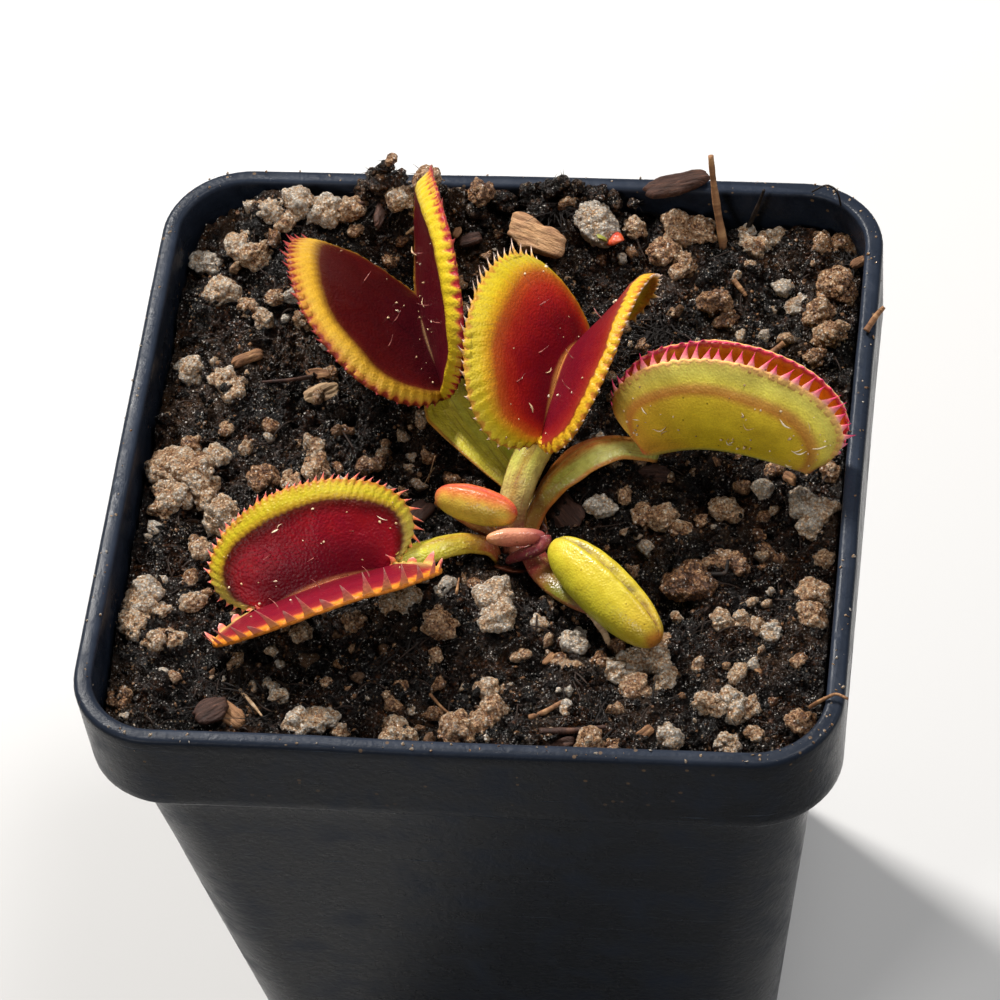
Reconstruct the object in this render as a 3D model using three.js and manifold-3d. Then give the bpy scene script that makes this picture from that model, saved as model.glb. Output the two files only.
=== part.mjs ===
// A potted Venus flytrap: a square nursery pot filled with peat and porous grains,
// a rhizome with its roots under the surface, four grown leaves with their traps,
// three young leaves that are still closed, and the bits of bark that lie about.
// Millimetres, +Z up. The origin is the middle of the pot's base, and +Y is the back.
import * as THREE from 'three';
import { mergeVertices } from 'three/addons/utils/BufferGeometryUtils.js';
import Module from 'manifold-3d';

const wasm = await Module();
wasm.setup();

// ---- driving dimensions -------------------------------------------------------

const CLEARANCE = 0.3;        // gap left between touching pieces

const POT = {
  height: 80,
  rimHalf: 35,                // half the outer width of the rim
  rimCorner: 8.1,             // corner radius of the rim
  rimBand: 1.7,               // width of the rim's top band
  rimRound: 0.5,              // rounding of the rim's edges
  collarDepth: 10,
  collarTaper: 0.3,
  bodyTop: 32.3,              // half width just under the collar
  bodyBase: 23.1,             // half width at the base
  bodyCorner: 7,
  wall: 1.2,
  floor: 1.6,
  drainRadius: 3.2,
  drainOffset: 14,            // drain holes sit at plus and minus this in X and Y
};

const SOIL = {
  level: 75.3,                // mean height of the peat
  relief: 0.9,                // height of its lumps
  lumpSize: 5.2,              // spacing of its lumps
  cells: 23,                  // grid cells across the pot
};

const CROWN = new THREE.Vector3(3.2, -7.0, 75.4);

// Heaps and hollows of the peat: x, y, height above the level, radius.
const HEAPS = [
  [-7, 32.5, 5.4, 4.6],
  [-14, 32, 2.6, 4.5],
  [4, 32, 3.4, 5],
  [-22, 27, 1.4, 6],
  [16, 29, 1.2, 6],
  [30, 16, 0.8, 6],
  [-27, 4, 1.0, 7],
  [3.2, -7.0, -0.9, 6],
  [-15, -16, -1.6, 8],
  [7, 17, -1.0, 7],
  [-10, 21, -1.8, 7],
  [-10, 28, -2.3, 3.5],
  [22, 1, -0.6, 8],
  [13, -16, -2.8, 7],
];

// The large grains: x, y, radius.
const LARGE_GRAINS = [
  [-22.5, 29.0, 3.2], [-17.5, 29.5, 2.0], [-12.8, 30.8, 2.0], [-5.6, 31.0, 2.2],
  [-3.6, 31.8, 1.5], [7.4, 29.6, 2.3], [-26.7, 24.6, 2.1], [15.9, 28.8, 3.0],
  [14.6, 24.0, 2.4], [22.6, 29.4, 1.8], [22.3, 25.0, 1.7], [29.0, 27.6, 1.7],
  [26.7, 21.0, 1.6], [29.9, 20.8, 2.2], [-26.4, 9.2, 2.6], [-30.0, 10.4, 1.7],
  [-28.6, 19.4, 1.5], [-28.2, -3.0, 3.8], [-21.6, -1.8, 1.7], [-11.4, 0.2, 1.5],
  [-30.3, -17.8, 1.5], [-27.8, -20.6, 1.7], [-17.2, -26.4, 1.7], [-12.8, -29.6, 2.8],
  [-5.3, -30.0, 2.2], [-0.1, -30.0, 2.2], [2.6, -16.8, 2.0], [16.1, -23.4, 3.2],
  [24.3, -26.6, 1.9], [19.6, -29.8, 1.7], [23.5, -17.2, 1.7], [30.5, -15.0, 1.8],
  [10.9, -4.6, 1.5], [16.2, -6.6, 2.4], [22.9, -6.4, 1.7], [30.4, -5.2, 1.5],
];

const SMALL_GRAINS = { count: 32, least: 0.9, most: 1.5, seed: 41 };

const BULB = { radius: 3.4, neck: 2.3, length: 16, top: 75.1 };

const ROOTS = { count: 4, length: 38, spread: 13, radius: 0.9, tip: 0.45 };

// A trap: `joint` is where its midrib meets the petiole, `along` runs down the midrib
// and `opens` is the way it opens. Each lobe is a part of an ellipse, `reach` by `rise`,
// whose middle lies `lift` above a midrib that runs `near` and `far` from the centre.
// `open` tilts the two lobes, `dish` hollows them and `curl` bends the whole backwards.
const TRAPS = {
  back_left: {
    joint: [-5.15, 8.4, 78.6], along: [-0.337, 0.941, -0.034], opens: [-0.242, -0.034, 0.97],
    reach: 9.6, rise: 9.4, lift: 6.2, near: 6.4, far: 6.4, skew: 0.6,
    open: [37, 28], dish: 0.9, edge: 0.7, wrap: [0.98, 0.92],
    curlFar: 0.079, curlFarFrom: -1.6, curlNear: 0.021, curlNearFrom: -2.3,
    columns: 22, tooth: 1.3, lean: 20,
  },
  centre: {
    joint: [5.2, 0.4, 81.9], along: [0.151, 0.977, 0.151], opens: [-0.184, -0.273, 0.944],
    reach: 9.5, rise: 6.9, lift: 4.3, near: 7.1, far: 6.4, skew: 0.7,
    open: [39, 49], dish: 0.9, edge: 0.7, wrap: [0.87, 0.62],
    curlFar: 0.117, curlFarFrom: -1.8, curlNear: 0.031, curlNearFrom: -3.2,
    columns: 19, tooth: 1.4, lean: 25,
  },
  front_left: {
    joint: [-8.0, -12.8, 77.9], along: [-0.936, -0.293, -0.196], opens: [0.078, -0.339, 0.938],
    reach: 9.1, rise: 5.3, lift: 4.2, near: 6.5, far: 5.9, skew: -0.2,
    open: [35, 75], dish: 0.9, edge: 0.7, wrap: [0.85, 0.96],
    curlFar: 0.043, curlFarFrom: -1.3, curlNear: 0.071, curlNearFrom: -0.1,
    columns: 18, tooth: 1.2, lean: 30,
  },
  right: {
    joint: [14.1, 2.0, 78.5], along: [0.981, -0.194, -0.017], opens: [0.034, 0.369, 0.929],
    reach: 9.6, rise: 6.4, lift: 4.5, near: 9.3, far: 6.9, skew: -0.2,
    open: [0, 13], dish: -1.8, edge: -0.3, wrap: [0.92, 0.97],
    curlFar: 0.014, curlFarFrom: 2.1, curlNear: 0.049, curlNearFrom: -0.5,
    columns: 16, tooth: 1.3, lean: 15,
  },
};

// Every trap's sheet: the shares of the way from midrib to margin where it has a row,
// how far along it is cut off, and how deep the crease and the keel of the midrib are.
const LOBE = {
  thickness: 0.7, rows: [0.32, 0.6, 0.83], ends: 0.92, crease: 0.25, keel: 0.9, keelTip: 0.6,
};

// A petiole: the first three points of its Bezier curve, which ends under the trap, its
// half width at the root, the shoulder and the neck, how its width grows and rounds off,
// how far its middle arches up, and how far it is rolled about its own way.
const PETIOLES = {
  back_left: {
    path: [[4.4, -3.8, 76.0], [3.0, -0.6, 76.7], [-1.4, 2.6, 77.9]],
    root: 0.9, shoulder: 4.0, neck: 0.7, flare: 1.7, belly: 0.2, arch: -0.5, roll: 0,
    round: 0.14,
  },
  centre: {
    path: [[2.4, -5.4, 76.2], [2.4, -3.6, 78.2], [3.9, -1.0, 80.6]],
    root: 1.35, shoulder: 1.9, neck: 0.7, flare: 1.2, belly: 0.1, arch: 0.2, roll: 0,
    round: 0.12,
  },
  front_left: {
    path: [[0.2, -8.1, 75.9], [-1.8, -8.6, 77.6], [-5.0, -10.4, 78.1]],
    root: 1.1, shoulder: 1.7, neck: 0.8, flare: 1.0, belly: 0.2, arch: 0.5, roll: 12,
    round: 0.12,
  },
  right: {
    path: [[6.0, -5.2, 76.3], [7.4, 0.2, 78.4], [10.4, 2.8, 79.2]],
    root: 0.9, shoulder: 1.5, neck: 0.8, flare: 1.0, belly: 1.35, arch: 0.7, roll: -22,
    round: 0.1,
  },
};

const PETIOLE = { middle: 1.1, edge: 0.6, intoTrap: 1.6, under: 0.5 };

// A young leaf: the stem's curve and radius, and the closed trap at its end, from
// `heel` (the joint) to `toe`, with its half height, half thickness and seam.
const YOUNG = {
  upper: {
    path: [[1.3, -6.4, 76.5], [-0.6, -6.4, 77.8], [-3.0, -5.2, 78.0], [-4.2, -4.4, 78.4]],
    stem: 0.8, heel: [-4.5, -4.5, 78.9], toe: [3.4, -7.2, 79.6],
    high: 1.75, thick: 1.5, up: [0.1, 0.5, 0.85], seam: 0.25,
  },
  small: {
    path: [[2.6, -9.0, 76.0], [3.4, -10.0, 77.6], [6.3, -10.1, 78.0], [6.1, -8.9, 78.7]],
    stem: 0.6, heel: [6.2, -8.7, 78.6], toe: [0.8, -9.6, 79.1],
    high: 0.9, thick: 0.85, up: [0, 0.2, 0.95], seam: 0.1,
  },
  front: {
    path: [[5.4, -8.1, 75.8], [6.8, -11.4, 75.8], [11.0, -16.8, 75.9], [16.6, -19.6, 77.2]],
    stem: 0.9, heel: [17.6, -20.2, 78.2], toe: [7.0, -9.8, 78.9],
    high: 2.6, thick: 2.4, up: [0.35, 0.3, 0.9], seam: 0.5,
  },
};

const PODS = { around: 14, along: 9 };

const CHIPS = {
  wood_chip: { at: [1.6, 28.2, 78.3], size: [7.6, 4.4, 1.5], turn: -24, tilt: 28, seed: 5 },
  bark_chip_rim: { at: [14.6, 33.2, 80.95], size: [7.0, 2.8, 1.2], turn: 18, tilt: 0, seed: 9 },
  bark_flake_left: { at: [-22.6, -28.2, 76.1], size: [4.6, 3.0, 1.0], turn: 40, tilt: 0, seed: 13 },
};

const TWIG = { foot: [19.6, 29.4, 74.2], head: [18.2, 33.6, 84.8], radius: 0.45, hole: 0.8 };

const COLOURS = {
  pot: 0x1b1e22,
  peat: 0x1c130d,
  rhizome: 0xd9d2b8,
  trap: 0xa8401f,
  closedTrap: 0xa9a53a,
  youngTrap: 0xc9a636,
  wood: 0x9a7350,
  bark: 0x3c2a20,
};

// ---- helpers ------------------------------------------------------------------

const vec = (xyz) => new THREE.Vector3(...xyz);

// A stream of numbers from 0 to 1 that is the same on every run.
function draws(seed) {
  let state = seed;
  return () => {
    state = (state + 0x6d2b79f5) | 0;
    let mixed = Math.imul(state ^ (state >>> 15), 1 | state);
    mixed = (mixed + Math.imul(mixed ^ (mixed >>> 7), 61 | mixed)) ^ mixed;
    return ((mixed ^ (mixed >>> 14)) >>> 0) / 4294967296;
  };
}

// A manifold solid from points and triangles, turned so that its faces point out.
function solidFrom(points, triangles) {
  let volume = 0;
  for (const [a, b, c] of triangles) {
    volume += points[a].dot(points[b].clone().cross(points[c]));
  }
  const order = volume > 0 ? [0, 1, 2] : [0, 2, 1];
  const vertProperties = new Float32Array(points.flatMap((p) => [p.x, p.y, p.z]));
  const triVerts = new Uint32Array(triangles.flatMap((t) => order.map((k) => t[k])));
  return new wasm.Manifold(new wasm.Mesh({ numProp: 3, vertProperties, triVerts }));
}

// A solid from one of three's closed geometries.
function solidFromGeometry(geometry) {
  const bare = geometry.clone();
  bare.deleteAttribute('normal');
  bare.deleteAttribute('uv');
  const merged = mergeVertices(bare, 1e-4);
  const position = merged.getAttribute('position');
  const points = [];
  for (let i = 0; i < position.count; i += 1) {
    points.push(new THREE.Vector3().fromBufferAttribute(position, i));
  }
  const triangles = [];
  for (let i = 0; i < merged.index.count; i += 3) {
    const corners = [0, 1, 2].map((k) => merged.index.getX(i + k));
    if (new Set(corners).size === 3) triangles.push(corners);
  }
  return solidFrom(points, triangles);
}

function meshFrom(solid, name, colour, roughness) {
  const { vertProperties, triVerts } = solid.getMesh();
  const geometry = new THREE.BufferGeometry();
  geometry.setAttribute('position', new THREE.BufferAttribute(new Float32Array(vertProperties), 3));
  geometry.setIndex(new THREE.BufferAttribute(new Uint32Array(triVerts), 1));
  geometry.computeVertexNormals();
  const material = new THREE.MeshStandardMaterial({ color: colour, roughness, metalness: 0 });
  const mesh = new THREE.Mesh(geometry, material);
  mesh.name = name;
  return mesh;
}

// A solid skinned over rings of equally many points, closed by a fan at each end.
function loft(rings) {
  const count = rings[0].length;
  const points = rings.flat();
  const triangles = [];
  for (let r = 0; r + 1 < rings.length; r += 1) {
    for (let i = 0; i < count; i += 1) {
      const a = r * count + i;
      const b = r * count + ((i + 1) % count);
      triangles.push([a, b, b + count], [a, b + count, a + count]);
    }
  }
  const middle = (ring) => ring.reduce((sum, p) => sum.add(p), new THREE.Vector3())
    .divideScalar(ring.length);
  points.push(middle(rings[0]), middle(rings[rings.length - 1]));
  const last = (rings.length - 1) * count;
  for (let i = 0; i < count; i += 1) {
    const next = (i + 1) % count;
    triangles.push([next, i, points.length - 2], [last + i, last + next, points.length - 1]);
  }
  return solidFrom(points, triangles);
}

// A ring of points on a square with rounded corners.
function roundedSquare(half, corner, z, steps = 5) {
  const ring = [];
  for (let quarter = 0; quarter < 4; quarter += 1) {
    for (let i = 0; i <= steps; i += 1) {
      const angle = (quarter + i / steps) * Math.PI / 2;
      const cx = (quarter === 0 || quarter === 3 ? 1 : -1) * (half - corner);
      const cy = (quarter < 2 ? 1 : -1) * (half - corner);
      ring.push(new THREE.Vector3(cx + corner * Math.cos(angle), cy + corner * Math.sin(angle), z));
    }
  }
  return ring;
}

// A tube along a curve, with its radius worked out from the share of the way.
function tube(curve, radiusAt, sides, steps) {
  const rings = [];
  for (let s = 0; s <= steps; s += 1) {
    const share = s / steps;
    const centre = curve.getPoint(share);
    const ahead = curve.getTangent(share);
    const across = new THREE.Vector3(0.3, -0.2, 1).cross(ahead).normalize();
    const third = ahead.clone().cross(across);
    const ring = [];
    for (let i = 0; i < sides; i += 1) {
      const angle = i / sides * Math.PI * 2;
      ring.push(centre.clone()
        .addScaledVector(across, radiusAt(share) * Math.cos(angle))
        .addScaledVector(third, radiusAt(share) * Math.sin(angle)));
    }
    rings.push(ring);
  }
  return loft(rings);
}

const join = (solids) => solids.reduce((whole, solid) => whole.add(solid));

// ---- pot ----------------------------------------------------------------------

// Half the outer width of the pot's body at a height, below the collar.
function bodyHalf(z) {
  const share = z / (POT.height - POT.collarDepth);
  return POT.bodyBase + (POT.bodyTop - POT.bodyBase) * share;
}

function makePot() {
  const under = POT.height - POT.collarDepth;
  const lower = POT.rimHalf - POT.collarTaper;
  const inner = POT.rimHalf - POT.rimBand;
  const innerLow = lower - POT.rimBand;
  const rings = [
    roundedSquare(bodyHalf(POT.floor) - POT.wall, POT.bodyCorner - POT.wall, POT.floor),
    roundedSquare(bodyHalf(under - 2) - POT.wall, POT.bodyCorner - POT.wall, under - 2),
    roundedSquare(innerLow, POT.rimCorner - POT.rimBand, under + POT.wall - 0.6),
    roundedSquare(inner, POT.rimCorner - POT.rimBand, POT.height - POT.rimRound),
    roundedSquare(inner + POT.rimRound, POT.rimCorner - POT.rimBand + POT.rimRound, POT.height),
    roundedSquare(POT.rimHalf - POT.rimRound, POT.rimCorner - POT.rimRound, POT.height),
    roundedSquare(POT.rimHalf, POT.rimCorner, POT.height - POT.rimRound),
    roundedSquare(lower, POT.rimCorner, under),
    roundedSquare(POT.bodyTop, POT.bodyCorner, under - 0.3),
    roundedSquare(bodyHalf(1), POT.bodyCorner, 1),
    roundedSquare(POT.bodyBase - 0.8, POT.bodyCorner - 0.8, 0),
  ];
  let pot = loft(rings);
  for (const sx of [-1, 1]) {
    for (const sy of [-1, 1]) {
      const drain = new THREE.CylinderGeometry(POT.drainRadius, POT.drainRadius, 6, 12);
      drain.rotateX(Math.PI / 2);
      drain.translate(sx * POT.drainOffset, sy * POT.drainOffset, 0);
      pot = pot.subtract(solidFromGeometry(drain));
    }
  }
  return pot;
}

// ---- growing medium -------------------------------------------------------------

// A smooth random height from -1 to 1 that changes over about one unit.
function lumps(x, y) {
  const corner = (i, j) => {
    const wave = Math.sin(i * 127.1 + j * 311.7) * 43758.5453;
    return (wave - Math.floor(wave)) * 2 - 1;
  };
  const i = Math.floor(x);
  const j = Math.floor(y);
  const u = x - i;
  const v = y - j;
  const su = u * u * (3 - 2 * u);
  const sv = v * v * (3 - 2 * v);
  const near = corner(i, j) * (1 - su) + corner(i + 1, j) * su;
  const far = corner(i, j + 1) * (1 - su) + corner(i + 1, j + 1) * su;
  return near * (1 - sv) + far * sv;
}

function soilHeight(x, y) {
  let z = SOIL.level + SOIL.relief * lumps(x / SOIL.lumpSize + 9, y / SOIL.lumpSize + 4);
  for (const [hx, hy, height, radius] of HEAPS) {
    z += height * Math.exp(-((x - hx) ** 2 + (y - hy) ** 2) / radius ** 2);
  }
  return z;
}

// A point of the unit square, moved onto a square of this half width with round corners.
function intoPot(a, b, half, corner) {
  const largest = Math.max(Math.abs(a), Math.abs(b));
  if (largest === 0) return [0, 0];
  const x = Math.abs(a) / largest * half;
  const y = Math.abs(b) / largest * half;
  const c = half - corner;
  let scale = 1;
  if (x > c && y > c) {
    const dot = (x + y) * c;
    const length = x * x + y * y;
    scale = (dot + Math.sqrt(dot * dot - length * (2 * c * c - corner * corner))) / length;
  }
  const reach = scale * half;
  return [a * reach, b * reach];
}

function makePeat() {
  const n = SOIL.cells;
  const under = POT.height - POT.collarDepth;
  const topHalf = POT.rimHalf - POT.rimBand - POT.collarTaper - CLEARANCE;
  const corner = POT.rimCorner - POT.rimBand;
  const points = [];
  const triangles = [];
  for (let j = 0; j <= n; j += 1) {
    for (let i = 0; i <= n; i += 1) {
      const [x, y] = intoPot(i / n * 2 - 1, j / n * 2 - 1, topHalf, corner);
      points.push(new THREE.Vector3(x, y, soilHeight(x, y)));
    }
  }
  const at = (i, j) => j * (n + 1) + i;
  for (let j = 0; j < n; j += 1) {
    for (let i = 0; i < n; i += 1) {
      triangles.push([at(i, j), at(i + 1, j), at(i + 1, j + 1)]);
      triangles.push([at(i, j), at(i + 1, j + 1), at(i, j + 1)]);
    }
  }
  const border = [];
  for (let i = 0; i < n; i += 1) border.push([i, 0]);
  for (let i = 0; i < n; i += 1) border.push([n, i]);
  for (let i = n; i > 0; i -= 1) border.push([i, n]);
  for (let i = n; i > 0; i -= 1) border.push([0, i]);
  const bodyCorner = POT.bodyCorner - POT.wall;
  const levels = [
    [topHalf - 0.1, under + 1.2, corner],
    [bodyHalf(under - 2) - POT.wall - CLEARANCE * 1.3, under - 1.8, bodyCorner],
    [bodyHalf(POT.floor) - POT.wall - CLEARANCE, POT.floor + CLEARANCE, bodyCorner],
  ];
  let above = border.map(([i, j]) => at(i, j));
  for (const [half, z, round] of levels) {
    const below = border.map(([i, j]) => {
      const [x, y] = intoPot(i / n * 2 - 1, j / n * 2 - 1, half, round);
      return points.push(new THREE.Vector3(x, y, z)) - 1;
    });
    above.forEach((a, k) => {
      const next = (k + 1) % above.length;
      triangles.push([a, below[k], below[next]], [a, below[next], above[next]]);
    });
    above = below;
  }
  const foot = points.push(new THREE.Vector3(0, 0, POT.floor + CLEARANCE)) - 1;
  above.forEach((a, k) => triangles.push([a, foot, above[(k + 1) % above.length]]));
  return solidFrom(points, triangles);
}

// One porous grain: an icosahedron whose corners are pushed in and out.
function grain(x, y, radius, draw) {
  const geometry = new THREE.IcosahedronGeometry(radius, 0);
  geometry.deleteAttribute('normal');
  geometry.deleteAttribute('uv');
  const merged = mergeVertices(geometry, 1e-4);
  merged.rotateX(draw() * 3);
  merged.rotateZ(draw() * 6);
  const position = merged.getAttribute('position');
  for (let i = 0; i < position.count; i += 1) {
    const corner = new THREE.Vector3().fromBufferAttribute(position, i);
    corner.multiplyScalar(0.86 + 0.3 * draw());
    position.setXYZ(i, corner.x, corner.y, corner.z);
  }
  merged.scale(1, 0.8 + 0.3 * draw(), 0.8);
  const reach = POT.rimHalf - POT.rimBand - POT.collarTaper - CLEARANCE - radius * 1.3;
  const gx = THREE.MathUtils.clamp(x, -reach, reach);
  const gy = THREE.MathUtils.clamp(y, -reach, reach);
  merged.translate(gx, gy, soilHeight(gx, gy) + radius * 0.3);
  return solidFromGeometry(merged);
}

// Small grains are strewn by a seeded draw, clear of the large ones and the plant.
function smallGrains(keepOff) {
  const draw = draws(SMALL_GRAINS.seed);
  const found = [];
  while (found.length < SMALL_GRAINS.count) {
    const radius = SMALL_GRAINS.least + (SMALL_GRAINS.most - SMALL_GRAINS.least) * draw();
    const x = (draw() * 2 - 1) * 30;
    const y = (draw() * 2 - 1) * 30;
    const clear = [...keepOff, ...LARGE_GRAINS, ...found]
      .every(([gx, gy, gr]) => Math.hypot(x - gx, y - gy) > gr + radius + 0.6);
    if (clear) found.push([x, y, radius]);
  }
  return found;
}

function rootCurves(sink = 0) {
  const curves = [];
  for (let k = 0; k < ROOTS.count; k += 1) {
    const angle = (k + 0.3) / ROOTS.count * Math.PI * 2;
    const out = (distance, drop) => new THREE.Vector3(
      CROWN.x + distance * Math.cos(angle),
      CROWN.y + distance * Math.sin(angle),
      BULB.top - BULB.length + 5 - drop,
    );
    const length = ROOTS.length * (0.75 + 0.25 * Math.cos(k * 2.4)) + sink;
    curves.push(new THREE.CubicBezierCurve3(
      out(0.5, 0),
      out(ROOTS.spread * 0.5, length * 0.15),
      out(ROOTS.spread * 0.8, length * 0.6),
      out(ROOTS.spread * 0.7, length),
    ));
  }
  return curves;
}

// The bulb is turned about the crown's axis, and its roots hang from its lower end.
function rhizomeGrownBy(grow, mouth) {
  const low = BULB.top - BULB.length;
  const profile = [
    [0, low - grow],
    [1.6 + grow, low + 0.6],
    [BULB.radius + grow, low + 4.5],
    [BULB.radius * 0.92 + grow, low + 9],
    [BULB.neck + grow, BULB.top - 2],
    [BULB.neck * 0.8 + grow, BULB.top + mouth],
    [0, BULB.top + mouth],
  ];
  const bulb = new THREE.LatheGeometry(profile.map(([r, z]) => new THREE.Vector2(r, z)), 12);
  bulb.rotateX(Math.PI / 2);
  bulb.translate(CROWN.x, CROWN.y, 0);
  const radiusAt = (share) => ROOTS.radius + (ROOTS.tip - ROOTS.radius) * share + grow;
  const roots = rootCurves(grow).map((curve) => tube(curve, radiusAt, 5, 4));
  return join([solidFromGeometry(bulb), ...roots]);
}

// ---- leaves -------------------------------------------------------------------

function trapAxes(trap) {
  const along = vec(trap.along).normalize();
  const opens = vec(trap.opens);
  opens.addScaledVector(along, -opens.dot(along)).normalize();
  const across = opens.clone().cross(along);
  return { along, opens, across };
}

// Bends the plane of the midrib back beyond a place, on one side of it.
function curlBack(x, z, from, curl, way) {
  const past = (x - from) * way;
  if (past <= 0) return [x, z];
  const turn = past * curl;
  return [from + way * Math.sin(turn) * (1 / curl + z), (1 / curl + z) * Math.cos(turn) - 1 / curl];
}

// A point in the middle of a lobe's thickness: `side` is 1 or -1, `t` runs from -1 at
// the joint to 1 at the far end and `v` from 0 on the midrib to 1 on the margin.
function lobePoint(trap, side, t, v) {
  const base = Math.asin(Math.min(0.95, trap.lift / trap.rise));
  const start = Math.PI + base * trap.wrap[0];
  const end = -base * trap.wrap[1];
  const share = (t + 1) / 2;
  const angle = start + (end - start) * share;
  const rimX = trap.reach * Math.cos(angle) + trap.skew * Math.sin(angle) ** 2;
  const rimY = trap.lift + trap.rise * Math.sin(angle);
  const ribX = -trap.near + share * (trap.near + trap.far);
  const x0 = ribX + (rimX - ribX) * v;
  const height = rimY * v;
  const tilt = THREE.MathUtils.degToRad(trap.open[side > 0 ? 0 : 1]);
  const hollow = trap.dish * 4 * v * (1 - v) * Math.sqrt(Math.sin(share * Math.PI));
  const inward = hollow + trap.edge * (Math.max(0, v - 0.8) / 0.2) ** 1.5;
  const y = side * (height * Math.sin(tilt) - inward * Math.cos(tilt));
  const z0 = height * Math.cos(tilt) + inward * Math.sin(tilt);
  const curl = (px, pz) => {
    const far = curlBack(px, pz, trap.curlFarFrom, trap.curlFar, 1);
    return curlBack(far[0], far[1], trap.curlNearFrom, trap.curlNear, -1);
  };
  const [x, z] = curl(x0, z0);
  const [jointX, jointZ] = curl(-trap.near, 0);
  const { along, opens, across } = trapAxes(trap);
  return vec(trap.joint)
    .addScaledVector(along, x - jointX)
    .addScaledVector(across, y)
    .addScaledVector(opens, z - jointZ);
}

// The way from a lobe's middle towards the inside of the trap.
function lobeInward(trap, side, t, v) {
  const step = 0.01;
  const lowT = Math.max(-1, t - step);
  const lowV = Math.max(0.02, v - step);
  const alongEdge = lobePoint(trap, side, Math.min(1, t + step), Math.max(v, 0.03))
    .sub(lobePoint(trap, side, lowT, Math.max(v, 0.03)));
  const toEdge = lobePoint(trap, side, t, Math.min(1, v + step)).sub(lobePoint(trap, side, t, lowV));
  return alongEdge.cross(toEdge).multiplyScalar(side).normalize();
}

// A solid sheet from a face of triangles: each place is a point with the steps that
// lead from it to the front and to the back. Both sides are split into triangles alike,
// and a wall closes every edge that only one triangle has.
function thicken(places, face) {
  const count = places.length;
  const points = [
    ...places.map(({ point, front }) => point.clone().add(front)),
    ...places.map(({ point, back }) => point.clone().add(back)),
  ];
  const edges = new Set(face.flatMap(([a, b, c]) => [`${a},${b}`, `${b},${c}`, `${c},${a}`]));
  const triangles = [...face, ...face.map(([a, b, c]) => [a + count, c + count, b + count])];
  for (const edge of edges) {
    const [a, b] = edge.split(',').map(Number);
    if (!edges.has(`${b},${a}`)) {
      triangles.push([b, a, a + count], [b, a + count, b + count]);
    }
  }
  return solidFrom(points, triangles);
}

// The places of one lobe's margin: two teeth for each column, tip after foot.
function marginPlaces(trap, side, shareOf) {
  const half = LOBE.thickness / 2;
  const lean = THREE.MathUtils.degToRad(trap.lean);
  const places = [];
  for (let k = 0; k <= trap.columns * 4; k += 1) {
    const t = shareOf(k / 4);
    const inward = lobeInward(trap, side, t, 1);
    const point = lobePoint(trap, side, t, 1);
    if (k % 2 === 1) {
      const outward = point.clone().sub(lobePoint(trap, side, t, 0.93)).normalize();
      point.addScaledVector(outward, trap.tooth * Math.cos(lean));
      point.addScaledVector(inward, trap.tooth * Math.sin(lean));
    }
    const front = inward.clone().multiplyScalar(half);
    places.push({ point, front, back: front.clone().negate() });
  }
  return places;
}

// A trap is one folded sheet: both lobes share the midrib, where the back is a keel.
function trapSheet(trap) {
  const { columns } = trap;
  const { rows, ends } = LOBE;
  const { opens } = trapAxes(trap);
  const half = LOBE.thickness / 2;
  const shareOf = (column) => ends * (column / columns * 2 - 1);
  const places = [];
  const face = [];
  for (let i = 0; i <= columns; i += 1) {
    const keel = LOBE.keel + (LOBE.keelTip - LOBE.keel) * i / columns;
    places.push({
      point: lobePoint(trap, 1, shareOf(i), 0),
      front: opens.clone().multiplyScalar(LOBE.crease),
      back: opens.clone().multiplyScalar(-keel),
    });
  }
  for (const side of [1, -1]) {
    const first = places.length;
    for (let i = 0; i <= columns; i += 1) {
      for (const v of rows) {
        const front = lobeInward(trap, side, shareOf(i), v).multiplyScalar(half);
        const point = lobePoint(trap, side, shareOf(i), v);
        places.push({ point, front, back: front.clone().negate() });
      }
    }
    const at = (i, j) => (j === 0 ? i : first + i * rows.length + j - 1);
    const add = (a, b, c) => face.push(side > 0 ? [a, b, c] : [a, c, b]);
    const rim = places.length;
    places.push(...marginPlaces(trap, side, shareOf));
    for (let i = 0; i < columns; i += 1) {
      for (let j = 0; j < rows.length; j += 1) {
        add(at(i, j), at(i + 1, j), at(i + 1, j + 1));
        add(at(i, j), at(i + 1, j + 1), at(i, j + 1));
      }
      const a = at(i, rows.length);
      const b = at(i + 1, rows.length);
      const m = rim + i * 4;
      add(a, m + 2, m);
      add(a, b, m + 2);
      add(b, m + 4, m + 2);
      add(m, m + 2, m + 1);
      add(m + 2, m + 4, m + 3);
    }
  }
  return thicken(places, face);
}

// Half the width of a petiole at a share of its length.
function petioleHalf(leaf, share) {
  const wing = leaf.root + (leaf.shoulder - leaf.root) * share ** leaf.flare
    + leaf.belly * Math.sin(share * Math.PI) ** 2;
  const rounding = Math.sqrt(Math.min(1, (1 - share) / leaf.round));
  return leaf.neck + (wing - leaf.neck) * rounding;
}

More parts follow.
